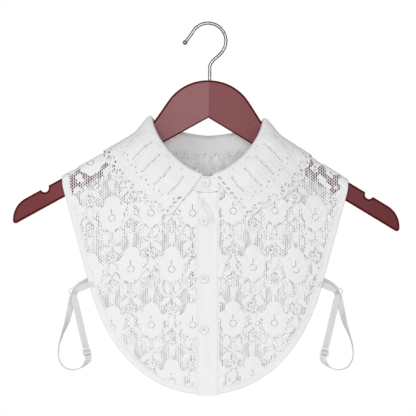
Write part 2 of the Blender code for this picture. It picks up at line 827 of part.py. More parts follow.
def strap_ring(name, hand, material):
    bpy.ops.mesh.primitive_torus_add(
        major_radius=RING_RADIUS * MM,
        minor_radius=RING_WIRE * MM,
        major_segments=20,
        minor_segments=5,
        rotation=(math.pi / 2, 0, 0),
        location=((BODY_X + hand * RING_OUT) * MM, STRAP_Y * MM, RING_Z * MM),
    )
    adopt(bpy.context.active_object, name, material)


def adopt(made, name, material):
    """Names an object that an operator made and moves it to the collar's collection."""
    made.name = name
    made.data.name = name
    made.data.materials.clear()
    made.data.materials.append(material)
    for collection in made.users_collection:
        collection.objects.unlink(made)
    bpy.data.collections["lace_collar"].objects.link(made)
    return made


def strap_slider(name, hand, material):
    """A slider frame with two windows, cut from a rounded plate."""
    up, across, _ = strap_frame(hand)
    half_w, step, bar = SLIDER_HALF_WIDTH, SLIDER_BAR_STEP, SLIDER_BAR
    build = bmesh.new()
    made = bmesh.ops.create_cube(build, size=1.0)
    size = (2 * half_w * MM, 2 * (step + bar) * MM, 2 * bar * MM)
    bmesh.ops.scale(build, vec=size, verts=made["verts"])
    corners = [e for e in build.edges if abs(e.verts[0].co.z - e.verts[1].co.z) > bar * MM]
    bmesh.ops.bevel(
        build,
        geom=corners,
        offset=SLIDER_CORNER * MM,
        segments=3,
        affect="EDGES",
        profile=0.5,
    )
    plate = add_object(name, finished(build, name), material)
    windows = bmesh.new()
    for side in (-1, 1):
        made = bmesh.ops.create_cube(windows, size=1.0)
        tall = (step - 2 * bar) * MM
        wide = 2 * (half_w - 2 * bar + GAP) * MM
        bmesh.ops.scale(windows, vec=(wide, tall, 8 * bar * MM), verts=made["verts"])
        bmesh.ops.translate(windows, vec=(0, side * step / 2 * MM, 0), verts=made["verts"])
    cutter = add_cutter(name + "_windows", finished(windows, name + "_windows"))
    cutter.parent = plate
    cut_with(plate, cutter)
    middle = np.array([BODY_X + hand * SLIDER_OUT, STRAP_Y, SLIDER_Z]) * MM
    turn = Matrix(np.stack([across, up, np.cross(across, up)], 1).tolist()).to_4x4()
    plate.matrix_world = Matrix.Translation(middle.tolist()) @ turn


def half_turn(middle, radius, start, end):
    """A bend of the elastic round a bar, as (a, y) along the run and behind it."""
    turn = np.radians(np.linspace(start, end, 7))
    return [(middle + radius * math.cos(t), radius * math.sin(t)) for t in turn]


def woven(table):
    """A weave table's places, as (a, y)."""
    return [
        (row["steps"] * SLIDER_BAR_STEP, row["bends"] * SLIDER_BEND + row["extra"])
        for row in rows(table)
    ]


def strap_elastic(name, hand, material):
    """The elastic: sewn round the slider's bar, up through the ring, down in front, woven
    through the slider, then round a loop and up behind to the back's binding."""
    up, across, back = strap_frame(hand)
    slider = np.array([BODY_X + hand * SLIDER_OUT, STRAP_Y, SLIDER_Z])
    ring = np.array([BODY_X + hand * RING_OUT, STRAP_Y, RING_Z])
    reach = float(np.dot(ring - slider, up)) - RING_RADIUS
    run = [(reach * t, RUNS_APART) for t in (0.4, 0.6, 0.8)]
    run += [(reach - FLARE_FROM_RING, FLARE_APART)]
    in_ring = half_turn(reach, RING_BEND, 90, -90)
    before = half_turn(0, SLIDER_BEND, 262, 90) + woven(WEAVE_UP) + run
    after = [(a, -y) for a, y in run[::-1]] + woven(WEAVE_DOWN)
    path = before + in_ring + after
    points = [slider + up * a + back * y for a, y in path]
    directions = [across] * len(points)
    upright = np.array([0.0, 0.0, -hand])
    width = [ELASTIC_WIDTH] * len(before) + [WIDTH_IN_RING] * len(in_ring)
    for place in rows(LOOP):
        points.append(np.array([BODY_X + hand * place["out"], place["y"], place["z"]]))
        turn = place["turn"] * math.pi / 2
        turned = across * math.cos(turn) + hand * back * math.sin(turn)
        directions.append(mix(turned, upright, place["level"]))
    points.append(inside_binding(hand, BACK_END_Z, -1, ELASTIC_WALL / 2))
    directions.append(upright)
    width += [ELASTIC_WIDTH] * (len(points) - len(width))
    ribbon(name, points, np.array(directions), width, material)


def inside_binding(hand, z, side, depth):
    """A place where a strap is sewn in: SEW_INSET in from the straight side, and depth
    under the room that the binding's inner face keeps."""
    lean = (SIDE_TOP_HALF - SIDE_END_HALF) / (SIDE_TOP_Z - SIDE_END_Z)
    x = BODY_X + hand * (SIDE_END_HALF + lean * (z - SIDE_END_Z) - SEW_INSET)
    q = q_at(x, z, side)
    return drape(x, q) - outward(x, q) * (BINDING_WALL / 2 + SEW_ROOM + depth)


def strap_tab(name, hand, material):
    """A short loop of elastic from inside the front's binding round the ring."""
    ring = np.array([BODY_X + hand * RING_OUT, STRAP_Y, RING_Z])
    root = inside_binding(hand, RING_Z + TAB_RISE, 1, ELASTIC_WALL / 2 + RUNS_APART)
    length = float(np.linalg.norm(root - ring))
    toward = (root - ring) / length
    back = np.array([0.0, 1.0, 0.0])
    back -= toward * np.dot(toward, back)
    back /= np.linalg.norm(back)
    across = np.cross(toward, back)
    lower = [(length, RUNS_APART), (0.8 * length, RUNS_APART)]
    lower += [(RING_RADIUS + FLARE_FROM_RING, FLARE_APART)]
    in_ring = half_turn(RING_RADIUS, RING_BEND, 90, 270)
    path = lower + in_ring + [(a, -y) for a, y in lower[::-1]]
    points = [ring + toward * a + back * y for a, y in path]
    width = [TAB_WIDTH] * len(lower) + [WIDTH_IN_RING] * len(in_ring) + [TAB_WIDTH] * len(lower)
    ribbon(name, points, np.array([across] * len(points)), width, material)


# Hanger and hook


def rounded_outline(corners):
    """Corners of (x, drop, radius) as one outline, with each corner's radius as an arc."""
    points = []
    for k, (x, y, radius) in enumerate(corners):
        here = np.array([x, y])
        if radius == 0:
            points.append(here)
            continue
        before = np.array(corners[k - 1][:2]) - here
        after = np.array(corners[(k + 1) % len(corners)][:2]) - here
        before /= np.linalg.norm(before)
        after /= np.linalg.norm(after)
        half = math.acos(float(np.clip(np.dot(before, after), -1, 1))) / 2
        middle = before + after
        middle = here + middle / np.linalg.norm(middle) * radius / math.sin(half)
        start = here + before * radius / math.tan(half) - middle
        end = here + after * radius / math.tan(half) - middle
        a = math.atan2(start[1], start[0])
        sweep = (math.atan2(end[1], end[0]) - a + math.pi) % (2 * math.pi) - math.pi
        steps = max(2, round(abs(math.degrees(sweep)) / 14))
        for s in range(steps + 1):
            turn = a + sweep * s / steps
            points.append(middle + radius * np.array([math.cos(turn), math.sin(turn)]))
    return points


def arm_outline():
    """One arm of the hanger before the strap notch, from the crown out to the nose."""
    slope = math.tan(math.radians(ARM_SLOPE))
    width = ARM_WIDTH / math.cos(math.radians(ARM_SLOPE))

    def under(x):
        return UNDERSIDE_NOTCH_DROP + slope * x

    inner = GAP / 2
    crown_x = 1.0 + CROWN_RADIUS * math.tan(math.radians(CROWN_SLOPE) / 2)
    return rounded_outline(
        (
            (inner, 0.0, 0),
            (crown_x, 0.0, CROWN_RADIUS),
            (CROWN_FOOT_X, under(CROWN_FOOT_X) - width, CROWN_FILLET),
            (ARM_REACH, under(ARM_REACH) - width, NOSE_RADIUS),
            (ARM_REACH, under(ARM_REACH), NOSE_HEEL_RADIUS),
            (inner, under(inner), 0),
        )
    )


def cutter_cylinder(name, radius, depth, segments):
    build = bmesh.new()
    bmesh.ops.create_cone(
        build,
        cap_ends=True,
        segments=segments,
        radius1=radius * MM,
        radius2=radius * MM,
        depth=depth * MM,
    )
    return add_cutter(name, finished(build, name))


def hanger_arm(name, hand, hole, material):
    """One wooden half: its flat outline made thick, the long edges rounded, a strap notch
    in its top edge and its half of the hook's hole."""
    build = bmesh.new()
    half = HANGER_THICK / 2
    ring = [build.verts.new((hand * x * MM, -half * MM, -d * MM)) for x, d in arm_outline()]
    face = build.faces.new(ring)
    grown = bmesh.ops.extrude_face_region(build, geom=[face])["geom"]
    lifted = [g for g in grown if isinstance(g, bmesh.types.BMVert)]
    bmesh.ops.translate(build, verts=lifted, vec=(0, 2 * half * MM, 0))
    rim = [
        e
        for e in build.edges
        if abs(e.verts[0].co.y - e.verts[1].co.y) < half * MM
        and max(abs(v.co.x) for v in e.verts) > GAP * MM
    ]
    bmesh.ops.bevel(
        build,
        geom=rim,
        offset=HANGER_EDGE_ROUND * MM,
        segments=2,
        affect="EDGES",
        profile=0.5,
        clamp_overlap=True,
    )
    bmesh.ops.remove_doubles(build, verts=build.verts, dist=1e-6)
    bmesh.ops.recalc_face_normals(build, faces=build.faces)
    arm = add_object(name, finished(build, name), material)
    arm.location = (HANGER_X * MM, 0, HANGER_TOP_Z * MM)
    arm.rotation_euler = (0, math.radians(HANGER_TILT), 0)
    slope = math.tan(math.radians(ARM_SLOPE))
    width = ARM_WIDTH / math.cos(math.radians(ARM_SLOPE))
    notch_drop = UNDERSIDE_NOTCH_DROP + slope * STRAP_NOTCH_X - width
    notch = cutter_cylinder(name + "_notch", STRAP_NOTCH_RADIUS, 3 * HANGER_THICK, 14)
    notch.parent = arm
    notch.rotation_euler = (math.pi / 2, 0, 0)
    notch.location = (hand * STRAP_NOTCH_X * MM, 0, -notch_drop * MM)
    for cutter in (notch, hole):
        cut_with(arm, cutter)


def hook_path():
    """The wire's middle line as rows of (x, z), from the ball round to the shank's foot."""
    lead = bezier(*HOOK_LEAD, 7)
    arc = np.radians(np.linspace(HOOK_OPEN_ANGLE, HOOK_BACK_ANGLE, 18))
    middle_z = WIRE_RADIUS - HOOK_RADIUS
    round_part = np.stack([np.cos(arc), np.sin(arc)], 1) * HOOK_RADIUS + (0, middle_z)
    heading = np.array([math.sin(arc[-1]), -math.cos(arc[-1])])
    foot = np.array([SHANK_X, SHANK_TOP_Z])
    end = round_part[-1]
    bend = bezier(end, end + heading * HOOK_BEND_PULL, foot + (0, SHANK_BEND_PULL), foot, 9)
    shank_end = (SHANK_X, HANGER_TOP_Z - SHANK_DEPTH + GAP)
    return np.concatenate([lead[:-1], round_part, bend[1:], [shank_end]])


def hanger_hook(material):
    """The wire as a curve; the ball at its open end is a swelling of the same wire."""
    path = hook_path()
    outwards = (path[0] - path[1]) / np.linalg.norm(path[0] - path[1])
    track = [(path[0] + outwards * row["beyond"], row["radius"]) for row in rows(BALL)]
    track += [(place, WIRE_RADIUS) for place in path[1:]]
    curve = bpy.data.curves.new("hanger_hook", "CURVE")
    curve.dimensions = "3D"
    curve.bevel_depth = WIRE_RADIUS * MM
    curve.bevel_resolution = 2
    curve.use_fill_caps = True
    spline = curve.splines.new("POLY")
    spline.points.add(len(track) - 1)
    for point, ((x, z), radius) in zip(spline.points, track):
        point.co = (x * MM, 0.0, z * MM, 1.0)
        point.radius = radius / WIRE_RADIUS
    add_object("hanger_hook", curve, material)


# Materials


def material(name, colour, roughness, metallic=0.0):
    made = bpy.data.materials.new(name)
    made.use_nodes = True
    shader = made.node_tree.nodes["Principled BSDF"]
    shader.inputs["Base Color"].default_value = (*colour, 1.0)
    shader.inputs["Roughness"].default_value = roughness
    shader.inputs["Metallic"].default_value = metallic
    return made


def clear_scene():
    for thing in list(bpy.data.objects):
        bpy.data.objects.remove(thing, do_unlink=True)
    for name in ("lace_collar", "cutters"):
        bpy.context.scene.collection.children.link(bpy.data.collections.new(name))


def main():
    clear_scene()
    lace = material("white lace", (0.82, 0.82, 0.83), 0.85)
    cotton = material("white cotton", (0.86, 0.86, 0.87), 0.8)
    elastic = material("white elastic", (0.84, 0.84, 0.84), 0.7)
    resin = material("white resin", (0.85, 0.85, 0.84), 0.25)
    nylon = material("clear white nylon", (0.8, 0.8, 0.8), 0.3)
    pale_wood = material("red stained wood, lit half", (0.32, 0.13, 0.14), 0.45)
    dark_wood = material("red stained wood, dark half", (0.24, 0.08, 0.09), 0.45)
    chrome = material("chromed wire", (0.8, 0.8, 0.82), 0.15, 1.0)

    hole = cutter_cylinder("hook_hole", WIRE_RADIUS + GAP, 2 * SHANK_DEPTH, 16)
    hole.location = (SHANK_X * MM, 0, HANGER_TOP_Z * MM)
    hanger_arm("hanger_arm_left", -1, hole, pale_wood)
    hanger_arm("hanger_arm_right", 1, hole, dark_wood)
    hanger_hook(chrome)

    back_panel(lace)
    for side, hand in (("left", -1), ("right", 1)):
        front_panel("front_panel_" + side, hand, lace)
        binding("binding_" + side, hand, cotton)
        collar_fall("collar_" + side, hand, lace)
        strap_ring("strap_ring_" + side, hand, nylon)
        strap_slider("strap_slider_" + side, hand, nylon)
        strap_elastic("strap_elastic_" + side, hand, elastic)
        strap_tab("strap_tab_" + side, hand, elastic)
    collar_stand(cotton)
    button_band(cotton)
    buttons(resin)


main()
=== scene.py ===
"""Looks for a detachable lace collar on a wooden hanger.

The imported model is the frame. Each cloth piece is cut flat in millimetres, given its holes
and raised threads there, and then laid on the same draped surface as its solid, so a piece
needs no fitting. Flat places are (x, q): x to the side, q down the front from the shoulder
line, or below zero down the back.
"""

from __future__ import annotations

import json
import logging
import math
from collections.abc import Callable, Iterable, Sequence
from dataclasses import dataclass, field
from enum import Enum
from typing import Any

import bpy
import mathutils
import numpy as np
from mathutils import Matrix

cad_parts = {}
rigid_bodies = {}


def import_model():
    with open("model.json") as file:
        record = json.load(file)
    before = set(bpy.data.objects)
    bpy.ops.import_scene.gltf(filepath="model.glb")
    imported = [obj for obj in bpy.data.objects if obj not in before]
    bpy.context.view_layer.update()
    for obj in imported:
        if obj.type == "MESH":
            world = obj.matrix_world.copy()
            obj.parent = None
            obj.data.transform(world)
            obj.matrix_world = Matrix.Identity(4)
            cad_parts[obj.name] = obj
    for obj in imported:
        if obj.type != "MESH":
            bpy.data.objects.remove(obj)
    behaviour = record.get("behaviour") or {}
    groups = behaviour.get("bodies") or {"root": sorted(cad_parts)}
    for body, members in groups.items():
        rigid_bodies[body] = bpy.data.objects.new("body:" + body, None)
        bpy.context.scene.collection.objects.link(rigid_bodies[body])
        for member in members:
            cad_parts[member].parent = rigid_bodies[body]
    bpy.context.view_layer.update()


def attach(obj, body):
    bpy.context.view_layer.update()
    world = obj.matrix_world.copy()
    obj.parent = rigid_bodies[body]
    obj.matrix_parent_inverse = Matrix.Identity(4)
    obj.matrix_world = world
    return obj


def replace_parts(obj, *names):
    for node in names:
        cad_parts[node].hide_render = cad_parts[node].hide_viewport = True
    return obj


LOG = logging.getLogger("lace_collar")
MM = 0.001
GAP = 0.3
Array = np.ndarray
Place = Callable[[Array, Array], Array]


# Small sums


def smooth(t: Array | float) -> Array:
    """An S-curve from 0 at t = 0 to 1 at t = 1, level at both ends: 3t² − 2t³."""
    t = np.clip(t, 0.0, 1.0)
    return t * t * (3.0 - 2.0 * t)


def mix(a: Any, b: Any, t: Any) -> Any:
    """A value that goes straight from a at t = 0 to b at t = 1."""
    return a + (b - a) * t


def bump(t: Array, middle: float, width: float) -> Array:
    """A bell of height 1 at middle, which falls to 1/e a width away."""
    return np.exp(-(((t - middle) / width) ** 2))


def resample(points: Array, count: int, power: float = 1.0) -> Array:
    """Places the same polyline at new steps along its length.

    Args:
        points: The polyline, n by k.
        count: How many points to return.
        power: 1 for equal steps, more for closer ones at the start.

    Returns:
        The new polyline, count by k.
    """
    steps = np.linalg.norm(np.diff(points, axis=0), axis=1)
    length = np.concatenate([[0.0], np.cumsum(steps)])
    at = np.linspace(0, 1, count) ** power * length[-1]
    return np.stack([np.interp(at, length, points[:, k]) for k in range(points.shape[1])], 1)


def bezier(a: Any, b: Any, c: Any, d: Any, count: int) -> Array:
    """A cubic Bezier from a to d, drawn towards b and c, as count points."""
    t = np.linspace(0, 1, count)[:, None]
    a, b, c, d = (np.asarray(p, float) for p in (a, b, c, d))
    return a * (1 - t) ** 3 + 3 * b * t * (1 - t) ** 2 + 3 * c * t * t * (1 - t) + d * t**3


def through(points: Array, count: int) -> Array:
    """A smooth curve through every point (Catmull-Rom), as count points.

    Args:
        points: The points it goes through, n by k.
        count: How many points to return.

    Returns:
        The curve, count by k.
    """
    points = np.asarray(points, float)
    at = np.linspace(0, len(points) - 1, count)
    k = np.clip(at.astype(int), 0, len(points) - 2)
    t = (at - k)[:, None]
    ends = len(points) - 1
    a, b = points[np.maximum(k - 1, 0)], points[k]
    c, d = points[k + 1], points[np.minimum(k + 2, ends)]
    straight = 2 * b + (c - a) * t
    bent = (2 * a - 5 * b + 4 * c - d) * t**2 + (3 * b - a - 3 * c + d) * t**3
    return (straight + bent) / 2


def unit(vectors: Array) -> Array:
    """The same vectors, each one long."""
    return vectors / np.maximum(np.linalg.norm(vectors, axis=-1, keepdims=True), 1e-9)


def grid_faces(rows: int, columns: int, wrap: bool = False) -> Array:
    """Quads of a grid of points, row by row.

    Args:
        rows: Rows of points.
        columns: Points in a row.
        wrap: Whether the last column joins the first.

    Returns:
        Four point numbers for each quad.
    """
    last = columns if wrap else columns - 1
    r, c = np.mgrid[: rows - 1, :last]
    right = (c + 1) % columns
    quads = [r * columns + c, r * columns + right, (r + 1) * columns + right]
    return np.stack([*quads, (r + 1) * columns + c], -1).reshape(-1, 4)


# Flat cuts and the shells made from them


@dataclass
class Cut:
    """Faces over flat places, before they are laid in space.

    Attributes:
        flat: Places in millimetres, n by 2.
        faces: Arrays of triangles or quads over those places.
        relief: How far each place stands proud of the cloth, in millimetres.
        raised: How far the underside lies above the cloth's own underside.
    """

    flat: Array
    faces: list[Array]
    relief: Array
    raised: Array | float = 0.0

    def turned(self) -> Cut:
        """The same cut with its faces counter-clockwise."""
        area = 0.0
        for face in self.faces:
            x, y = self.flat[face, 0], self.flat[face, 1]
            area += np.sum(x * np.roll(y, -1, 1) - y * np.roll(x, -1, 1))
        if area < 0:
            self.faces = [face[:, ::-1] for face in self.faces]
        return self

    def moved(self, place: Sequence[float], turn: float = 0.0, size: Any = 1.0) -> Cut:
        """The cut scaled by size, turned in degrees and moved to a place."""
        a = math.radians(turn)
        flat = self.flat * size @ np.array([[math.cos(a), math.sin(a)], [-math.sin(a), math.cos(a)]])
        return Cut(flat + np.asarray(place, float), list(self.faces), self.relief, self.raised).turned()

    def clipped(self, outline: Array) -> Cut:
        """The cut with what lies outside an outline pulled to it, and empty faces left out."""
        depth, nearest = reach_inside(outline, self.flat)
        flat = np.where(depth[:, None] < 0, nearest, self.flat)
        kept = []
        for face in self.faces:
            x, y = flat[face, 0], flat[face, 1]
            area = np.abs(np.sum(x * np.roll(y, -1, 1) - y * np.roll(x, -1, 1), axis=1))
            kept.append(face[area > 0.02])
        return Cut(flat, kept, self.relief, self.raised)


def joined(cuts: Iterable[Cut]) -> Cut:
    """Several cuts as one."""
    flat, faces, relief, raised, start = [], [], [], [], 0
    for cut in cuts:
        flat.append(cut.flat)
        relief.append(cut.relief)
        raised.append(np.broadcast_to(cut.raised, cut.relief.shape))
        faces += [face + start for face in cut.faces]
        start += len(cut.flat)
    return Cut(np.concatenate(flat), faces, np.concatenate(relief), np.concatenate(raised))


def reach_inside(outline: Array, places: Array) -> tuple[Array, Array]:
    """How far places lie inside a closed outline.

    The distance to every side is that to the nearest place of the side, and a place is
    inside where a line to its right crosses the outline an odd number of times.

    Args:
        outline: Corners of the closed outline, m by 2.
        places: Places to measure, n by 2.

    Returns:
        The distance, below zero outside, and the nearest place of the outline.
    """
    start, end = outline, np.roll(outline, -1, 0)
    run = end - start
    depth, nearest = np.empty(len(places)), np.empty((len(places), 2))
    for first in range(0, len(places), 6000):
        part = places[first : first + 6000]
        away = part[:, None] - start[None]
        t = np.clip(np.sum(away * run, -1) / np.maximum(np.sum(run * run, -1), 1e-9), 0, 1)
        foot = start + t[..., None] * run
        far = np.linalg.norm(part[:, None] - foot, axis=-1)
        at = np.argmin(far, 1)
        rows = np.arange(len(part))
        over = (start[None, :, 1] > part[:, None, 1]) != (end[None, :, 1] > part[:, None, 1])
        rise = np.where(np.abs(run[:, 1]) < 1e-9, 1e-9, run[:, 1])
        crossing = start[:, 0] + (part[:, None, 1] - start[:, 1]) / rise * run[:, 0]
        inside = np.sum(over & (crossing > part[:, None, 0]), 1) % 2 == 1
        depth[first : first + 6000] = np.where(inside, 1, -1) * far[rows, at]
        nearest[first : first + 6000] = foot[rows, at]
    return depth, nearest


def strip(path: Array, width: Any, across: int = 3, dome: float = 0.3, vein: float = 0.0) -> Cut:
    """A flat band along a path, raised along its middle.

    Its height is dome times a half circle across it, less a vein along the middle.

    Args:
        path: The band's middle line, n by 2.
        width: Its width, one value or one for each point.
        across: Points across it.
        dome: Height of its middle.
        vein: Depth of the groove along the middle.

    Returns:
        The band as a cut.
    """
    path = np.asarray(path, float)
    run = unit(np.gradient(path, axis=0))
    side = np.stack([-run[:, 1], run[:, 0]], 1)
    s = np.linspace(-1, 1, across)
    half = np.broadcast_to(np.asarray(width, float), (len(path),)) / 2
    flat = path[:, None] + side[:, None] * (half[:, None] * s)[..., None]
    relief = dome * np.sqrt(1 - 0.85 * s**2) - vein * bump(s, 0.0, 0.25)
    relief = np.broadcast_to(relief, flat.shape[:2])
    faces = grid_faces(len(path), across)
    return Cut(flat.reshape(-1, 2), [faces], relief.reshape(-1).copy()).turned()


def leaf(length: float, width: float, bend: float = 0.0, points: int = 8, across: int = 5) -> Cut:
    """A pointed leaf from the origin up +y, whose middle line bends sideways as a parabola."""
    t = np.linspace(0, 1, points)
    path = np.stack([bend * t * t, length * t], 1)
    wide = width * np.sin(math.pi * np.clip(t * 0.96 + 0.02, 0, 1)) ** 0.8 + 0.3
    return strip(path, wide, across, 0.35, 0.3 if across > 3 else 0.0)


def carve(
    span: Sequence[float], step: tuple[float, float], gauge: Callable[[Array, Array], Array]
) -> tuple[Cut, Array]:
    """Cuts holes and edges in a flat grid.

    gauge gives the distance from each place to the nearest cut edge, positive in the cloth.
    Grid points nearer to an edge than half a step move onto it along the gauge's slope, and
    faces with a corner further out are left out, so that every edge is smooth.

    Args:
        span: The grid's low corner and high corner.
        step: The grid's steps along each direction.
        gauge: The distance to the nearest edge.

    Returns:
        The cut, with no relief yet, and the distance at each of its places.
    """
    low, high = span[:2], span[2:]
    u = np.linspace(low[0], high[0], round((high[0] - low[0]) / step[0]) + 1)
    v = np.linspace(low[1], high[1], round((high[1] - low[1]) / step[1]) + 1)
    places = np.stack(np.meshgrid(u, v, indexing="ij"), -1)
    depth = gauge(places[..., 0], places[..., 1])
    slope = np.stack(np.gradient(depth, u, v), -1)
    steep = np.maximum(np.linalg.norm(slope, axis=-1), 0.5)
    near = np.abs(depth) < np.sum(np.abs(slope) * step, -1) / steep / 2
    shift = depth[..., None] * slope / steep[..., None] ** 2
    places = np.where(near[..., None], places - shift, places)
    shape = depth.shape
    number = np.arange(depth.size).reshape(shape)
    corners = [(slice(None, -1), slice(None, -1)), (slice(1, None), slice(None, -1))]
    corners += [(slice(1, None), slice(1, None)), (slice(None, -1), slice(1, None))]
    quads = np.stack([number[c] for c in corners], -1).reshape(-1, 4)
    solid = (near | (depth > 0)).reshape(-1)[quads]
    mean = depth.reshape(-1)[quads].mean(1)
    count = solid.sum(1)
    whole = quads[(count == 4) & (mean > -0.3 * min(step))]
    triples = []
    for gone in range(4):
        chosen = (count == 3) & ~solid[:, gone]
        triples.append(quads[chosen][:, [(gone + k) % 4 for k in (1, 2, 3)]])
    depth = np.where(near, 0.0, depth).reshape(-1)
    cut = Cut(places.reshape(-1, 2), [whole, np.concatenate(triples)], np.zeros(depth.size))
    return cut, depth


def shell(cut: Cut, place: Place, upper: float, lower: float) -> tuple[Array, list[Array]]:
    """A closed wall of cloth: the cut laid twice, with its open edges joined.

    Args:
        cut: The flat cut.
        place: Gives the point in space at a flat place and a height over the cloth's middle.
        upper: Height of the outer face, to which the relief is added.
        lower: Height of the inner face.

    Returns:
        Points in millimetres and faces that point outwards.
    """
    used = np.unique(np.concatenate([face.reshape(-1) for face in cut.faces]))
    renumber = np.full(len(cut.flat), -1)
    renumber[used] = np.arange(len(used))
    faces = [renumber[face] for face in cut.faces if len(face)]
    flat, relief = cut.flat[used], cut.relief[used]
    n = len(used)
    raised = np.broadcast_to(cut.raised, cut.relief.shape)[used]
    points = np.concatenate([place(flat, upper + relief), place(flat, lower + raised)])
    start = np.concatenate([face.reshape(-1) for face in faces])
    end = np.concatenate([np.roll(face, -1, 1).reshape(-1) for face in faces])
    edge = ~np.isin(start.astype(np.int64) * n + end, end.astype(np.int64) * n + start)
    a, b = start[edge], end[edge]
    walls = np.stack([b, a, a + n, b + n], 1)
    faces = faces + [face[:, ::-1] + n for face in faces] + [walls]
    volume = 0.0
    for face in faces:
        p = points[face]
        for k in range(1, face.shape[1] - 1):
            volume += np.sum(p[:, 0] * np.cross(p[:, k], p[:, k + 1]))
    if volume < 0:
        faces = [face[:, ::-1] for face in faces]
    return points, faces


# Colours, nodes and meshes


def linear(colour: str) -> tuple[float, float, float, float]:
    """An sRGB hex colour as linear red, green, blue and alpha."""
    parts = [int(colour[k : k + 2], 16) / 255 for k in (1, 3, 5)]
    return (*(p / 12.92 if p <= 0.04045 else ((p + 0.055) / 1.055) ** 2.4 for p in parts), 1.0)


def add_node(
    material: bpy.types.Material,
    kind: str,
    inputs: dict[str | int, Any] | None = None,
    **settings: Any,
) -> bpy.types.Node:
    """Adds one node to a material.

    Args:
        material: The material that gets it.
        kind: The node's type, such as ShaderNodeTexNoise.
        inputs: What each input gets, a socket to link or a value to set.
        **settings: The node's own settings.

    Returns:
        The new node.
    """
    node = material.node_tree.nodes.new(kind)
    for name, value in settings.items():
        setattr(node, name, value)
    for name, value in (inputs or {}).items():
        if isinstance(value, bpy.types.NodeSocket):
            material.node_tree.links.new(value, node.inputs[name])
        else:
            node.inputs[name].default_value = value
    return node


def add_piece(
    name: str,
    points: Array,
    faces: Sequence[Array],
    material: bpy.types.Material,
    flat: Array | None = None,
    crease: float = 48.0,
) -> bpy.types.Object:
    """Makes an object from points and faces.

    Args:
        name: The object's name.
        points: Points in millimetres.
        faces: Arrays of triangles or quads.
        material: Its finish.
        flat: Flat places for the UV map, one for each point, in millimetres.
        crease: Edges bent by more degrees than this are shaded sharp.

    Returns:
        The object, at the origin.
    """
    mesh = bpy.data.meshes.new(name)
    faces = [np.asarray(face) for face in faces if len(face)]
    corners = np.concatenate([face.reshape(-1) for face in faces]).astype(np.int32)
    sizes = np.concatenate([np.full(len(face), face.shape[1]) for face in faces])
    mesh.vertices.add(len(points))
    mesh.vertices.foreach_set("co", (np.asarray(points) * MM).astype(np.float32).reshape(-1))
    mesh.loops.add(len(corners))
    mesh.loops.foreach_set("vertex_index", corners)
    mesh.polygons.add(len(sizes))
    starts = np.concatenate([[0], np.cumsum(sizes)[:-1]]).astype(np.int32)
    mesh.polygons.foreach_set("loop_start", starts)
    mesh.update(calc_edges=True)
    mesh.validate()
    if flat is not None:
        number = np.empty(len(mesh.loops), np.int32)
        mesh.loops.foreach_get("vertex_index", number)
        layer = mesh.uv_layers.new(name="cloth")
        layer.data.foreach_set("uv", (flat[number] * MM).astype(np.float32).reshape(-1))
    mesh.shade_smooth()
    mesh.set_sharp_from_angle(angle=math.radians(crease))
    mesh.materials.append(material)
    made = bpy.data.objects.new(name, mesh)
    bpy.context.scene.collection.objects.link(made)
    return made


def add_shell(
    name: str,
    cut: Cut,
    place: Place,
    wall: tuple[float, float],
    material: bpy.types.Material,
) -> bpy.types.Object:
    """Makes a closed cloth piece from a flat cut; wall is its outer and inner height."""
    used = np.unique(np.concatenate([face.reshape(-1) for face in cut.faces]))
    points, faces = shell(cut, place, *wall)
    flat = np.concatenate([cut.flat[used], cut.flat[used]])
    return add_piece(name, points, faces, material, flat)


def tube(path: Array, radius: Any, sides: int = 16) -> tuple[Array, list[Array]]:
    """A round rod along a path, closed at both ends with a point.

    Each ring lies across the path. Its first direction is kept as near as it can be to the
    one before, so the rod doesn't twist.

    Args:
        path: The middle line, n by 3.
        radius: The rod's radius, one value or one for each point.
        sides: Points round each ring.

    Returns:
        Points and faces.
    """
    path = np.asarray(path, float)
    radius = np.broadcast_to(np.asarray(radius, float), (len(path),))
    along = unit(np.gradient(path, axis=0))
    guide = np.array([0.0, 1.0, 0.0]) if abs(along[0, 1]) < 0.9 else np.array([1.0, 0.0, 0.0])
    first = []
    for direction in along:
        guide = guide - direction * np.dot(guide, direction)
        guide = guide / np.linalg.norm(guide)
        first.append(guide)
    first = np.array(first)
    second = np.cross(along, first)
    turn = np.linspace(0, 2 * math.pi, sides, endpoint=False)
    ring = first[:, None] * np.cos(turn)[None, :, None] + second[:, None] * np.sin(turn)[None, :, None]
    points = (path[:, None] + ring * radius[:, None, None]).reshape(-1, 3)
    faces = grid_faces(len(path), sides, True)
    n = len(points)
    ends = np.stack([path[0] - along[0] * radius[0] * 0.3, path[-1] + along[-1] * radius[-1] * 0.3])
    k = np.arange(sides)
    cap = np.stack([np.full(sides, n), (k + 1) % sides, k], 1)
    far = n - sides
    cap_far = np.stack([np.full(sides, n + 1), far + k, far + (k + 1) % sides], 1)
    return outwards(np.concatenate([points, ends]), [faces, np.concatenate([cap, cap_far])])


def outwards(points: Array, faces: list[Array]) -> tuple[Array, list[Array]]:
    """The same closed surface with its faces pointing out: its signed volume isn't negative."""
    volume = 0.0
    for face in faces:
        p = points[face]
        for k in range(1, face.shape[1] - 1):
            volume += np.sum(p[:, 0] * np.cross(p[:, k], p[:, k + 1]))
    return points, [face[:, ::-1] for face in faces] if volume < 0 else faces


def gather(parts: Iterable[tuple[Array, list[Array]]]) -> tuple[Array, list[Array]]:
    """Several point and face lists as one."""
    points, faces, start = [], [], 0
    for some, over in parts:
        points.append(some)
        faces += [face + start for face in over]
        start += len(some)
    return np.concatenate(points), faces


# Finishes


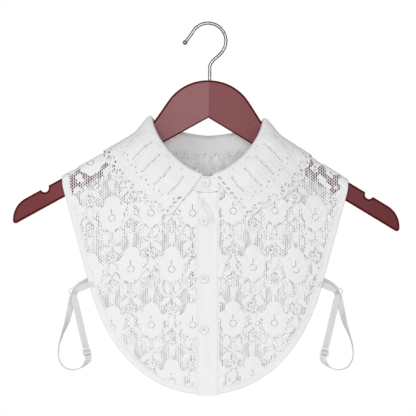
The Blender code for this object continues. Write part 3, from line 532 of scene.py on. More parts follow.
@dataclass(frozen=True)
class ClothFinish:
    """Bleached cotton or polyester thread: matt, with a faint sheen and soft grey hollows.

    Attributes:
        name: The material's name.
        light: The thread's colour.
        dark: The colour of its slight unevenness.
        pitch: Distance between ribs or threads in millimetres.
        depth: Height of the threads in millimetres.
        cross: Whether threads cross, as in a woven cloth, or run one way, as in a rib.
        sheen: Strength of the fibre's sheen.
        roughness: How dull the thread is.
        soak: Share of the light that soaks through.
    """

    name: str
    light: str
    dark: str
    pitch: float
    depth: float
    cross: bool = True
    sheen: float = 0.15
    roughness: float = 0.82
    soak: float = 0.4

    def made(self) -> bpy.types.Material:
        """The material, with its threads drawn at the finish's own pitch."""
        material = bpy.data.materials.new(self.name)
        material.use_nodes = True
        tree = material.node_tree
        shader = tree.nodes["Principled BSDF"]
        place = add_node(material, "ShaderNodeUVMap", uv_map="cloth")
        scale = 0.314 / (self.pitch * MM)
        ribs = add_node(
            material,
            "ShaderNodeTexWave",
            {"Vector": place.outputs[0], "Scale": scale, "Distortion": 0.6, "Detail": 1.0},
            bands_direction="X",
        )
        height = ribs.outputs["Fac"]
        if self.cross:
            picks = add_node(
                material,
                "ShaderNodeTexWave",
                {"Vector": place.outputs[0], "Scale": scale, "Distortion": 0.6, "Detail": 1.0},
                bands_direction="Y",
            )
            height = add_node(
                material, "ShaderNodeMath", {0: height, 1: picks.outputs["Fac"]}, operation="MULTIPLY"
            ).outputs[0]
        cloud = add_node(
            material, "ShaderNodeTexNoise", {"Vector": place.outputs[0], "Scale": 60.0, "Detail": 4.0}
        )
        tone = add_node(
            material,
            "ShaderNodeMix",
            {"Factor": cloud.outputs["Fac"], 6: linear(self.light), 7: linear(self.dark)},
            data_type="RGBA",
        )
        bumped = add_node(
            material,
            "ShaderNodeBump",
            {"Height": height, "Strength": 0.6, "Distance": self.depth * MM},
        )
        tree.links.new(tone.outputs[2], shader.inputs["Base Color"])
        tree.links.new(bumped.outputs[0], shader.inputs["Normal"])
        shader.inputs["Roughness"].default_value = self.roughness
        # Light that soaks through thin cloth keeps its hollows and inner side pale
        shader.inputs["Subsurface Weight"].default_value = self.soak
        shader.inputs["Subsurface Radius"].default_value = (1.0, 1.0, 1.0)
        shader.inputs["Subsurface Scale"].default_value = 0.0015
        shader.inputs["Sheen Weight"].default_value = self.sheen
        shader.inputs["Sheen Roughness"].default_value = 0.5
        shader.inputs["Specular IOR Level"].default_value = 0.25
        return material


@dataclass(frozen=True)
class WoodFinish:
    """Mahogany stain under satin lacquer: fine grain, darker towards the arm's end, with painted shade on the
    rounded edges.

    Attributes:
        name: The material's name.
        face: Colour of the flat face by the hook.
        end: Colour of the face at the arm's end.
        edge: Colour of the rounded edges and sides: painted shade, a dark red-black where they turn away from the
            light.
        slope: Angle of the grain in degrees.
        half: Half the arm's thickness in millimetres.
    """

    name: str
    face: str
    end: str
    edge: str
    slope: float
    half: float = 6.0

    def made(self) -> bpy.types.Material:
        """The material. Grain streaks are about 1 mm by 30 mm."""
        material = bpy.data.materials.new(self.name)
        material.use_nodes = True
        tree = material.node_tree
        shader = tree.nodes["Principled BSDF"]
        place = add_node(material, "ShaderNodeTexCoord").outputs["Object"]
        turned = (0.0, math.radians(self.slope), 0.0)
        along = add_node(material, "ShaderNodeMapping", {"Vector": place, "Rotation": turned})
        drawn = {"Vector": along.outputs[0], "Scale": (30.0, 300.0, 800.0)}
        drawn = add_node(material, "ShaderNodeMapping", drawn).outputs[0]
        streaks = add_node(
            material, "ShaderNodeTexNoise", {"Vector": drawn, "Scale": 1.0, "Detail": 5.0}
        ).outputs["Fac"]
        axes = add_node(material, "ShaderNodeSeparateXYZ", {0: place})
        aside = add_node(material, "ShaderNodeMath", {0: axes.outputs["X"]}, operation="ABSOLUTE")
        ending = {"Value": aside.outputs[0], "From Min": 0.03, "From Max": 0.19}
        ending = add_node(material, "ShaderNodeMapRange", ending).outputs[0]
        base = {"Factor": ending, 6: linear(self.face), 7: linear(self.end)}
        base = add_node(material, "ShaderNodeMix", base, data_type="RGBA").outputs[2]
        shade = {"Value": streaks, "From Min": 0.3, "From Max": 0.7, "To Min": 0.93, "To Max": 1.05}
        shade = add_node(material, "ShaderNodeMapRange", shade).outputs[0]
        grain = {0: base, "Scale": shade}
        grain = add_node(material, "ShaderNodeVectorMath", grain, operation="SCALE").outputs[0]
        # Painted shade: off the flat faces, over the rounded edges and the sides, the colour turns to the dark edge
        # colour
        out = add_node(material, "ShaderNodeMath", {0: axes.outputs["Y"]}, operation="ABSOLUTE")
        rim = {
            "Value": out.outputs[0],
            "From Min": (self.half - 0.16) * MM,
            "From Max": (self.half - 0.02) * MM,
        }
        rim = add_node(material, "ShaderNodeMapRange", rim, interpolation_type="SMOOTHSTEP").outputs[0]
        colour = {"Factor": rim, 6: linear(self.edge), 7: grain}
        colour = add_node(material, "ShaderNodeMix", colour, data_type="RGBA").outputs[2]
        bumped = {"Height": streaks, "Strength": 0.12, "Distance": 0.0002}
        bumped = add_node(material, "ShaderNodeBump", bumped)
        tree.links.new(colour, shader.inputs["Base Color"])
        tree.links.new(bumped.outputs[0], shader.inputs["Normal"])
        shader.inputs["Roughness"].default_value = 0.6
        shader.inputs["Specular IOR Level"].default_value = 0.06
        shader.inputs["Coat Weight"].default_value = 0.03
        shader.inputs["Coat Roughness"].default_value = 0.3
        return material


@dataclass(frozen=True)
class PlainFinish:
    """A smooth hard surface with slight unevenness: plated wire or moulded plastic.

    Attributes:
        name: The material's name.
        light: Its colour.
        dark: The colour in its clouds.
        roughness: How dull it is.
        metallic: 1 for metal.
        cloud: Clouds in a metre.
        coat: Strength of a clear coat.
    """

    name: str
    light: str
    dark: str
    roughness: float
    metallic: float = 0.0
    cloud: float = 400.0
    coat: float = 0.0

    def made(self) -> bpy.types.Material:
        """The material: two near colours in soft clouds, and fine wear in its gloss."""
        material = bpy.data.materials.new(self.name)
        material.use_nodes = True
        tree = material.node_tree
        shader = tree.nodes["Principled BSDF"]
        place = add_node(material, "ShaderNodeTexCoord").outputs["Object"]
        cloud = add_node(
            material, "ShaderNodeTexNoise", {"Vector": place, "Scale": self.cloud, "Detail": 3.0}
        )
        tone = add_node(
            material,
            "ShaderNodeMix",
            {"Factor": cloud.outputs["Fac"], 6: linear(self.light), 7: linear(self.dark)},
            data_type="RGBA",
        )
        worn = add_node(
            material,
            "ShaderNodeMapRange",
            {
                "Value": cloud.outputs["Fac"],
                "To Min": self.roughness * 0.8,
                "To Max": self.roughness * 1.25,
            },
        )
        bumped = add_node(
            material,
            "ShaderNodeBump",
            {"Height": cloud.outputs["Fac"], "Strength": 0.08, "Distance": 0.0001},
        )
        tree.links.new(tone.outputs[2], shader.inputs["Base Color"])
        tree.links.new(worn.outputs[0], shader.inputs["Roughness"])
        tree.links.new(bumped.outputs[0], shader.inputs["Normal"])
        shader.inputs["Metallic"].default_value = self.metallic
        shader.inputs["Coat Weight"].default_value = self.coat
        return material


class Finish(Enum):
    """The finishes of this object."""

    LACE = ClothFinish("white_raschel_lace", "#f3f3f4", "#eeeeef", 1.3, 0.12, False, soak=0.0)
    COLLAR = ClothFinish("white_guipure_lace", "#f3f3f4", "#eeeeef", 1.1, 0.12, False)
    COTTON = ClothFinish("white_cotton_poplin", "#f2f2f3", "#eeeeef", 0.9, 0.08)
    THREAD = ClothFinish("white_sewing_thread", "#efefef", "#e6e6e6", 0.6, 0.05, False)
    ELASTIC = ClothFinish("white_ribbed_elastic", "#e4e4e6", "#d8d8db", 1.2, 0.2, False)
    BUTTON = PlainFinish("white_polyester_button", "#f4f4f2", "#e6e6e6", 0.28, coat=0.3)
    FITTING = PlainFinish("white_moulded_nylon", "#ececed", "#dcdcde", 0.35)
    # Mahogany stain on both arms; the left arm is lighter than the right by a painted reflection, and on both the
    # edge colour is painted shade
    WOOD_LEFT = WoodFinish("mahogany_stain_and_painted_light_left", "#966769", "#783b3e", "#5c0910", -30.0)
    WOOD_RIGHT = WoodFinish("mahogany_stain_and_painted_light_right", "#875154", "#6c3236", "#5c0910", 30.0)
    WIRE = PlainFinish("bright_chrome_wire", "#97989c", "#87888d", 0.24, 1.0)


@dataclass
class Palette:
    """Makes each finish once and gives it again."""

    made: dict[Finish, bpy.types.Material] = field(default_factory=dict)

    def get(self, finish: Finish) -> bpy.types.Material:
        """The material of a finish."""
        if finish not in self.made:
            self.made[finish] = finish.value.made()
        return self.made[finish]


# The surface that the cloth hangs on


@dataclass(frozen=True)
class Drape:
    """The cloth's middle surface: over the hanger's shoulder line and down both sides."""

    hanger_x: float = 1.2
    hanger_top: float = -64.1
    tilt: float = 1.2
    slope: float = 30.0
    arm_width: float = 20.0
    notch_drop: float = 43.0
    body_x: float = -2.8
    ridge_lift: float = 2.4
    radius_end: float = 10.0
    radius_neck: float = 22.0
    neck_x: float = 70.0
    end_x: float = 128.0
    roof_rise: float = 70.0
    edge_depth: float = 11.5
    body_half: float = 170.0
    front_depths: tuple[float, float] = (44.0, 27.0)
    back_depths: tuple[float, float] = (38.0, 25.0)
    seam_z: float = -193.0
    hem_z: float = -424.0
    fold_top: float = -200.0
    fold_full: float = -330.0
    folds: tuple[tuple[float, float, float, float], ...] = (
        (1, -66.0, 26.0, -2.6),
        (1, 58.0, 24.0, -2.2),
        (1, -104.0, 22.0, 1.6),
        (1, 98.0, 22.0, 1.4),
        (-1, -48.0, 30.0, -2.4),
        (-1, 36.0, 26.0, -2.8),
        (-1, 88.0, 24.0, 1.6),
    )

    def ridge(self, x: Array | float) -> Array:
        """Height of the shoulder line at x: straight slopes over the tilted arms."""
        tilt = math.radians(self.tilt)
        meet = self.notch_drop - self.arm_width / math.cos(math.radians(self.slope))
        meet_x = self.hanger_x - meet * math.sin(tilt)
        meet_z = self.hanger_top - meet * math.cos(tilt)
        slope = np.tan(np.radians(self.slope + np.sign(x - meet_x) * self.tilt))
        return meet_z + self.ridge_lift - slope * np.abs(x - meet_x)

    def roof(self, x: Array) -> Array:
        """Radius of the cloth's bend over the shoulder line."""
        near = smooth((self.end_x - np.abs(x - self.body_x)) / (self.end_x - self.neck_x))
        return mix(self.radius_end, self.radius_neck, near)

    def depth(self, x: Array, z: Array, side: Array) -> Array:
        """How far the hanging cloth stands from the hanger's middle plane.

        It is deepest at the middle, falls to the sides as a cosine, and has soft folds, each
        a bell across that grows from the chest to the hem.
        """
        t = (self.seam_z - z) / (self.seam_z - self.hem_z)
        middle = np.where(side > 0, mix(*self.front_depths, t), mix(*self.back_depths, t))
        across = np.cos(np.clip(np.abs(x - self.body_x) / self.body_half, 0, 1) * math.pi / 2)
        grown = smooth((self.fold_top - z) / (self.fold_top - self.fold_full))
        relief = 0.0
        for of_side, place, width, deep in self.folds:
            fold = deep * bump(x - self.body_x, place, width)
            relief = relief + np.where(side == of_side, fold, 0.0)
        return self.edge_depth + (middle - self.edge_depth) * across**1.2 + relief * grown

    def point(self, x: Array, q: Array) -> Array:
        """The point at x and q: a quarter round over the shoulder line, then a leg down."""
        x, q = np.broadcast_arrays(np.asarray(x, float), np.asarray(q, float))
        side = np.where(q >= 0, 1.0, -1.0)
        radius = self.roof(x)
        turn = np.minimum(np.abs(q) / radius, math.pi / 2)
        down = radius * (1 - np.cos(turn)) + np.maximum(np.abs(q) - radius * math.pi / 2, 0)
        z = self.ridge(x) - down
        out = self.depth(x, z, side) - radius
        out = radius * np.sin(turn) + out * smooth(down / self.roof_rise)
        return np.stack([x, -side * out, z], axis=-1)

    def q_at(self, x: Array | float, z: Array | float, side: Array | float = 1) -> Array:
        """The q of a place on the front (side 1) or back (side -1) at a height."""
        x = np.asarray(x, float)
        radius = self.roof(x)
        down = np.maximum(self.ridge(x) - z, 0.0)
        turned = radius * np.arccos(np.clip(1 - down / radius, -1, 1))
        return side * np.where(down < radius, turned, down + radius * (math.pi / 2 - 1))

    def outward(self, x: Array, q: Array, step: float = 0.5) -> Array:
        """Unit normals that point away from the body, from two short differences."""
        across = self.point(x + step, q) - self.point(x - step, q)
        down = self.point(x, q + step) - self.point(x, q - step)
        return unit(np.cross(down, across))

    def lay(self, flat: Array, out: Array) -> Array:
        """Flat places at a height over the surface, as points in space."""
        x, q = flat[:, 0], flat[:, 1]
        return self.point(x, q) + self.outward(x, q) * np.asarray(out)[:, None]


@dataclass(frozen=True)
class Body:
    """The body's outline, its neck seam and its collar fold, on the draped surface."""

    drape: Drape = field(default_factory=Drape)
    side_top_half: float = 167.2
    side_top_z: float = -176.6
    side_end_half: float = 132.2
    side_end_z: float = -303.5
    hem_side_pull: float = 60.0
    hem_middle_pull: float = 75.0
    tip_round: float = 7.0
    tip_pull: float = 2.0
    neck_x: float = -0.8
    seam_half: float = 75.0
    seam_front_z: float = -193.0
    seam_back_z: float = -145.5
    seam_power: float = 1.7
    fold_half: float = 63.4
    fold_side_z: float = -107.6
    fold_front_z: float = -172.5
    fold_back_z: float = -127.0
    fold_power: float = 1.57
    fold_front_depth: float = 40.0
    fold_back_depth: float = 34.0

    @property
    def lean(self) -> float:
        """Slope of the straight sides."""
        return (self.side_top_half - self.side_end_half) / (self.side_top_z - self.side_end_z)

    def outline(self, hand: int, inset: float) -> Array:
        """Side and hem of one half as (x, z), from the shoulder line to the hem's middle.

        The side is straight and the hem is one Bezier curve. Both move inwards by inset.

        Args:
            hand: 1 on the viewer's right, -1 on the left.
            inset: How far inwards, in millimetres.

        Returns:
            Points of (x, z).
        """
        top_half = self.side_top_half
        for _ in range(20):
            top_z = float(self.drape.ridge(self.drape.body_x + hand * top_half))
            top_half = self.side_end_half + self.lean * (top_z - self.side_end_z)
        side = np.linspace((top_half, top_z), (self.side_end_half, self.side_end_z), 30)
        corner = np.array([self.side_end_half, self.side_end_z])
        run = np.array([-self.lean, -1.0]) / math.hypot(self.lean, 1.0) * self.hem_side_pull
        hem_z = self.drape.hem_z
        hem = bezier(corner, corner + run, (self.hem_middle_pull, hem_z), (0, hem_z), 60)
        points = np.concatenate([side, hem[1:]])
        along = unit(np.gradient(points, axis=0))
        points = points + np.stack([along[:, 1], -along[:, 0]], 1) * inset
        points[:, 0] -= self.tip_pull * np.exp(-(((points[:, 1] - top_z) / self.tip_round) ** 2))
        points[:, 0] = self.drape.body_x + hand * points[:, 0]
        return points

    def edge(self, hand: int, inset: float, side: int, stop_x: float, start_q: float) -> Array:
        """The outline as (x, q) on one side, from the shoulder line to stop_x."""
        dense = resample(self.outline(hand, inset), 400)
        dense = dense[(dense[:, 0] - stop_x) * hand >= 0]
        dense = np.concatenate([dense, [[stop_x, dense[-1, 1]]]])
        q = self.drape.q_at(dense[:, 0], dense[:, 1], side)
        q[0] = side * start_q
        return np.stack([dense[:, 0], q], 1)

    def seam(self, angle: Array, grow: float = 0.0) -> tuple[Array, Array]:
        """The neck seam as x and q: a superellipse in front and one behind.

        Args:
            angle: Degrees from the middle of the front by the viewer's right to the back.
            grow: How far outside the seam.

        Returns:
            x and q.
        """
        turn = np.radians(angle)
        hand = np.where(np.sin(turn) >= 0, 1.0, -1.0)
        half = self.seam_half + grow
        x = self.neck_x + half * np.sin(turn)
        front = np.cos(turn) >= 0
        low = np.where(front, self.seam_front_z, self.seam_back_z) - grow
        share = (1 - np.abs(np.sin(turn)) ** self.seam_power) ** (1 / self.seam_power)
        z = mix(self.drape.ridge(self.neck_x + hand * half), low, share)
        return x, self.drape.q_at(x, z, np.where(front, 1.0, -1.0))

    def fold(self, angle: Array) -> Array:
        """The collar's fold in space, a superellipse that follows the hanger's tilt."""
        turn = np.radians(angle)
        front = np.cos(turn) >= 0
        share = (1 - np.abs(np.sin(turn)) ** self.fold_power) ** (1 / self.fold_power)
        low = np.where(front, self.fold_front_z, self.fold_back_z)
        depth = np.where(front, self.fold_front_depth, self.fold_back_depth)
        offset = self.fold_half * np.sin(turn)
        z = mix(self.fold_side_z, low, share) - offset * math.tan(math.radians(self.drape.tilt))
        return np.stack([self.neck_x + offset, -depth * np.cos(turn), z], axis=-1)


def declare_sheet(
    piece: bpy.types.Object,
    place: Place,
    outline: Array,
    held: str,
    rests_on: Sequence[str],
) -> None:
    """Lays a grid of small squares inside the outline in space, a short step across and down, and keeps nothing.

    Args:
        piece: The cloth. Not used.
        place: Gives the point in space at a flat place and a height over the middle.
        outline: Corners of the cut in flat places.
        held: How the cloth is held. Not used.
        rests_on: What carries it.
    """
    low, high = outline.min(0), outline.max(0)
    step = float(np.max(high - low)) / 150
    x, q = np.meshgrid(*(np.arange(a + step / 2, b, step) for a, b in zip(low, high)))
    flat = np.stack([x.reshape(-1), q.reshape(-1)], 1)
    flat = flat[reach_inside(outline, flat)[0] > 0]
    level = np.zeros(len(flat))
    for shift in ((0.3, 0.0), (0.0, 0.3)):
        (place(flat + shift, level) - place(flat - shift, level)) / 0.6
    list(rests_on)


def rectangle(low: Sequence[float], high: Sequence[float]) -> Array:
    """Corners of a rectangle."""
    return np.array([low, (high[0], low[1]), high, (low[0], high[1])], float)


# Lace


@dataclass
class Motif:
    """One drawing in the lace: its cut and the discs that it covers, so the net stops there."""

    cut: Cut
    cover: list[tuple[float, float, float]] = field(default_factory=list)


# A big flower's petals: direction in degrees, length in millimetres, half width in degrees
BIG_FLOWER = (
    (90.0, 25.5, 41.0),
    (42.0, 18.2, 42.0),
    (138.0, 18.2, 42.0),
    (-4.0, 14.2, 42.0),
    (184.0, 14.2, 42.0),
    (-48.0, 15.2, 40.0),
    (-132.0, 15.2, 40.0),
    (-90.0, 16.2, 36.0),
)


@dataclass
class LacePattern:
    """The all-over lace: hexagonal net with satin flowers, leaves, cords and fillings.

    The flowers stand in columns a half repeat apart, so that each row's flowers lie between
    those of the row above. Everything is a little uneven, from a seeded generator.
    """

    column: float = 23.4
    repeat: float = 128.0
    pitch: tuple[float, float] = (3.25, 2.0)
    hole: tuple[float, float] = (1.08, 0.68)
    widest: float = 1.36
    lift: float = 0.42
    columns: int = 60
    fine: bool = True

    def blossom(
        self, petals: Sequence[tuple[float, float, float]], ring: tuple[float, float], columns: int
    ) -> Cut:
        """A flower in satin stitch, with a ring of slots round its middle.

        Each petal's edge is its length times the cosine across it, to a small power, and the
        flower's edge is the furthest petal. Each petal is a dome with a cord along its edge.

        Args:
            petals: Direction in degrees, length and half width in degrees of each petal.
            ring: Inner and outer radius of the slots.
            columns: Points round it.

        Returns:
            The flower, with its middle at the origin.
        """
        turn = np.linspace(0, 2 * math.pi, columns, endpoint=False) + math.pi / 2
        table = np.radians(np.array(petals) * (1, 0, 1)) + np.array(petals) * (0, 1, 0)
        away = (turn[:, None] - table[:, 0] + math.pi) % (2 * math.pi) - math.pi
        share = np.clip(np.abs(away) / table[:, 2], 0, 1)
        edges = table[:, 1] * np.cos(share * math.pi / 2) ** 0.32
        best = np.argmax(edges, 1)
        rows = np.arange(columns)
        edge = np.maximum(edges[rows, best], ring[1] * 1.25)
        lobe = 1 - (share[rows, best] / 0.6) ** 2
        shares = (0.0, 0.28, 0.56, 0.8, 0.93, 1.0) if self.fine else (0.0, 0.45, 0.86, 1.0)
        radii = [np.full(columns, ring[0] * 0.55), np.full(columns, ring[0])]
        radii += [mix(ring[1], edge, s) for s in shares]
        heights = [np.full(columns, 0.5), np.full(columns, 0.3)]
        for s in shares:
            dome = 0.45 * lobe * math.sin(math.pi * min(1.0, 0.2 + 0.7 * s)) - 0.15 * (lobe < 0.15)
            heights.append(0.15 + dome + (0.25 if 0.78 < s < 0.95 else 0.0) - (0.15 if s == 1 else 0.0))
        radii, heights = np.array(radii), np.array(heights)
        around = np.stack([np.cos(turn), np.sin(turn)], 1)
        flat = np.concatenate([[[0.0, 0.0]], (radii[..., None] * around[None]).reshape(-1, 2)])
        quads = grid_faces(len(radii), columns, True).reshape(len(radii) - 1, columns, 4) + 1
        kept = np.ones(quads.shape[:2], bool)
        kept[1] = np.arange(columns) % max(3, columns // 5) == 2
        if columns >= self.columns:
            kept[2, 0] = False
        k = np.arange(columns)
        fan = np.stack([0 * k, 1 + k, 1 + (k + 1) % columns], 1)
        relief = np.concatenate([[0.6], heights.reshape(-1)])
        return Cut(flat, [quads[kept], fan], relief)

    def unit_motifs(self, random: np.random.Generator) -> list[Motif]:
        """One repeat of the drawing round a big flower at the origin, y up."""
        big = self.blossom(BIG_FLOWER, (3.3, 4.0), self.columns)
        small = self.blossom([(60 * k, 6.0, 34) for k in range(6)], (1.3, 2.2), self.columns // 2)
        tiny = self.blossom([(72 * k, 4.1, 40) for k in range(5)], (0.8, 1.4), self.columns // 3)
        points, across = (8, 5) if self.fine else (6, 3)
        covered = [(0, 0, 12.5), (0, 9, 9.5), (0, 15, 8.4), (0, 18.5, 6.0), (0, -6.5, 8.5)]
        motifs = [Motif(big, covered + [(h * 6.5, 6.5, 8.5) for h in (-1, 1)])]

        def put(cut: Cut, x: float, y: float, turn: float = 0.0, size: Any = 1.0, cover: Any = ()) -> None:
            """Adds a part a little off its place."""
            off = random.normal(0, 0.35, 2)
            cut = cut.moved((x + off[0], y + off[1]), turn + random.normal(0, 3.0), size)
            cut.relief = cut.relief + 0.05 * (len(motifs) % 4)
            motifs.append(Motif(cut, [(x + a, y + b, r) for a, b, r in cover]))

        for hand in (-1, 1):
            lobe = bezier((hand * 8.5, -13), (hand * 14.5, -19), (hand * 10, -30), (0, -31), 9)
            put(strip(lobe, 2.2, 3, 0.6), 0, 0)
            inner = bezier((hand * 2.0, -15), (hand * 2.6, -20), (hand * 2.4, -26), (0, -30), 7)
            put(strip(inner, 1.4, 3, 0.45), 0, 0)
            put(leaf(12.5, 5.6, hand * 1.6, points, across), hand * 6.2, -14.8, 180 + hand * 2)
            put(leaf(13.5, 6.2, hand * 2.4, points, across), hand * 1.5, -33, 180 + hand * 62)
            put(leaf(11.5, 5.0, -hand * 1.5, points, across), hand * 4.6, -50, 180 + hand * 36)
            put(leaf(10.5, 4.6, hand * 1.2, points, across), hand * 1.6, -66, 180 + hand * 48)
            put(leaf(12.5, 5.2, hand * 1.8, points, across), hand * 2.4, -97, hand * 32)
            stem = bezier((0, -52), (hand * 2, -60), (hand * 12, -62), (hand * 11.2, -78), 9)
            put(strip(stem, 1.6, 3, 0.5), 0, 0)
            curl = bezier((hand * 11.2, -78), (hand * 10, -88), (hand * 3, -90), (0, -82), 8)
            put(strip(curl, 1.6, 3, 0.5), 0, 0)
            for k in range(4):
                bar = [(hand * (2.4 + 0.2 * k), -17.5 - 2.6 * k), (hand * (4.6 + 0.3 * k), -18.3 - 2.6 * k)]
                put(strip(np.array(bar), 0.9, 2, 0.2), 0, 0)
        put(small, 0, -45.0, random.uniform(0, 60), 1.0, [(0, 0, 4.6)])
        put(leaf(15.0, 6.4, 0.6, points, across), 0, -52, 180, 1.0, [(0, -7, 1.8)])
        put(tiny, 0, -75.5, random.uniform(0, 60), 1.0, [(0, 0, 3.0)])
        star = self.blossom([(60 * k, 3.1, 34) for k in range(6)], (0.9, 1.2), 18)
        put(star, 0, -31.5, 0.0, 1.0, [(0, 0, 2.2)])
        stem = bezier((0, -31), (0.8, -34), (-0.8, -37), (0, -39.5), 6)
        put(strip(stem, 1.7, 3, 0.5), 0, 0)
        stem = bezier((0, -79), (0.6, -86), (-0.8, -92), (0, -103), 8)
        put(strip(stem, 1.3, 3, 0.4), 0, 0)
        return motifs

    def piece(
        self,
        outline: Array,
        seed: int,
        shift: tuple[float, float],
        shoulder: Callable[[Array], Array],
    ) -> Cut:
        """The lace cut to an outline.

        Args:
            outline: Corners in panel places, y up.
            seed: Seed of its unevenness.
            shift: Where a big flower lies.
            shoulder: 1 at places where wear on the hanger opens the net, 0 elsewhere.

        Returns:
            The net and every motif in it, clipped to the outline.
        """
        random = np.random.default_rng(seed)
        low, high = outline.min(0), outline.max(0)
        first = math.floor((low[0] - shift[0]) / self.column) - 1
        last = math.ceil((high[0] - shift[0]) / self.column) + 1
        cuts, discs = [], []
        for column in range(first, last + 1):
            x = shift[0] + column * self.column + random.normal(0, 0.7)
            start = shift[1] + (column % 2) * self.repeat / 2
            down = math.floor((low[1] - start) / self.repeat) - 1
            for k in range(down, math.ceil((high[1] - start) / self.repeat) + 2):
                y = start + k * self.repeat + random.normal(0, 1.0)
                if not (low[1] - 30 < y < high[1] + 110 and low[0] - 16 < x < high[0] + 16):
                    continue
                for motif in self.unit_motifs(random):
                    cut = motif.cut.moved((x, y))
                    # On the hanger's arm the drawing is open: only its flowers are filled
                    if not motif.cover and np.max(shoulder(cut.flat)) > 0.45:
                        continue
                    cuts.append(cut)
                    discs += [(x + a, y + b, r) for a, b, r in motif.cover]
        discs = np.array(discs)

        def open_at(centre: Array) -> Array:
            """Size of the net's hole: none under a motif, large beside one and at the shoulder."""
            places = centre.reshape(-1, 2)
            depth, _ = reach_inside(outline, places)
            size = np.zeros(len(places))
            for first in range(0, len(places), 4000):
                part = places[first : first + 4000]
                away = np.linalg.norm(part[:, None] - discs[None, :, :2], axis=-1) - discs[None, :, 2]
                least = np.min(away, axis=1)
                size[first : first + 4000] = np.where(least < -1.0, 0.0, 0.97 + 0.3 * bump(least, 0.6, 1.6))
            wave = places[:, 0] / 1.7 + 1.4 * np.sin(places[:, 1] / 3.1)
            size = size * (1 + 0.2 * np.sin(wave)) + 0.25 * bump(depth, 7.0, 2.6) + 0.4 * shoulder(places)
            size = np.where(size > 0.6, np.minimum(size, self.widest), 0.0)
            # Satin clumps break the open net on the shoulders into uneven windows
            x, y = places.T
            clump = np.sin(x / 3.4 + 1.3 * np.sin(y / 6.0)) * np.sin(y / 4.4 + 0.9 * np.sin(x / 7.0))
            closed = (clump > 0.3) & (shoulder(places) > 0.25) & (size > 0)
            size = np.where(closed, 0.32, size)
            return np.where(depth > -1.5, size, 0.0).reshape(centre.shape[:-1])

        def turned_open(centre: Array) -> Array:
            """The same, for a net laid out with its rows upright."""
            return open_at(centre[..., ::-1])

        net = hex_net(low[::-1] - 4, high[::-1] + 4, self.pitch, self.hole, turned_open)
        net.flat = net.flat[:, ::-1]
        net = net.turned().clipped(outline)
        motifs = joined(cuts)
        depth, _ = reach_inside(outline, motifs.flat)
        inside = [face[np.any(depth[face] > 0, axis=1)] for face in motifs.faces if len(face)]
        motifs = Cut(motifs.flat, inside, motifs.relief + self.lift).clipped(outline)
        motifs.raised = np.full(len(motifs.flat), self.lift)
        return joined([net, motifs])


def hex_net(
    low: Array, high: Array, pitch: tuple[float, float], hole: tuple[float, float], open_at: Callable[[Array], Array]
) -> Cut:
    """A net of six-sided holes.

    Holes lie in rows, each a half pitch aside of the last. Between two holes lies a leg, a
    quad from the side of one to the side of the other, and between three a small triangle.

    Args:
        low: Lowest corner of the net.
        high: Highest corner.
        pitch: Distance between holes in a row, and between rows.
        hole: Half width and half height of a hole.
        open_at: Gives each hole's size at its middle as a share of hole, 0 where there is none.

    Returns:
        The net as a cut.
    """
    rows = int((high[1] - low[1]) / pitch[1]) + 1
    columns = int((high[0] - low[0]) / pitch[0]) + 1
    r, c = np.mgrid[:rows, :columns]
    centre = np.stack([low[0] + (c + 0.5 * (r % 2)) * pitch[0], low[1] + r * pitch[1]], -1)
    size = open_at(centre)
    kept = size > 0
    turn = np.radians([90, 30, -30, -90, -150, 150])
    around = np.stack([hole[0] * np.cos(turn) / math.cos(math.pi / 6), hole[1] * np.sin(turn)], -1)
    flat = (centre[:, :, None] + around * size[:, :, None, None]).reshape(-1, 2)
    start = (r * columns + c) * 6

    def neighbour(up: int, right: Array) -> tuple[Array, Array]:
        """First corner of the hole up and right of each, and whether it is there."""
        row, column = r + up, c + right
        there = (row < rows) & (column >= 0) & (column < columns)
        row, column = np.clip(row, 0, rows - 1), np.clip(column, 0, columns - 1)
        return (row * columns + column) * 6, there & kept[row, column] & kept

    east, has_east = neighbour(0, np.ones_like(c))
    north_east, has_ne = neighbour(1, r % 2)
    north_west, has_nw = neighbour(1, r % 2 - 1)
    legs = [
        np.stack([start + 1, start + 2, east + 4, east + 5], -1)[has_east],
        np.stack([start, start + 1, north_east + 3, north_east + 4], -1)[has_ne],
        np.stack([start, north_west + 2, north_west + 3, start + 5], -1)[has_nw],
    ]
    knots = [
        np.stack([start, north_east + 4, north_west + 2], -1)[has_ne & has_nw],
        np.stack([start + 1, east + 5, north_east + 3], -1)[has_east & has_ne],
    ]
    return Cut(flat, [np.concatenate(legs), np.concatenate(knots)], np.zeros(len(flat)))


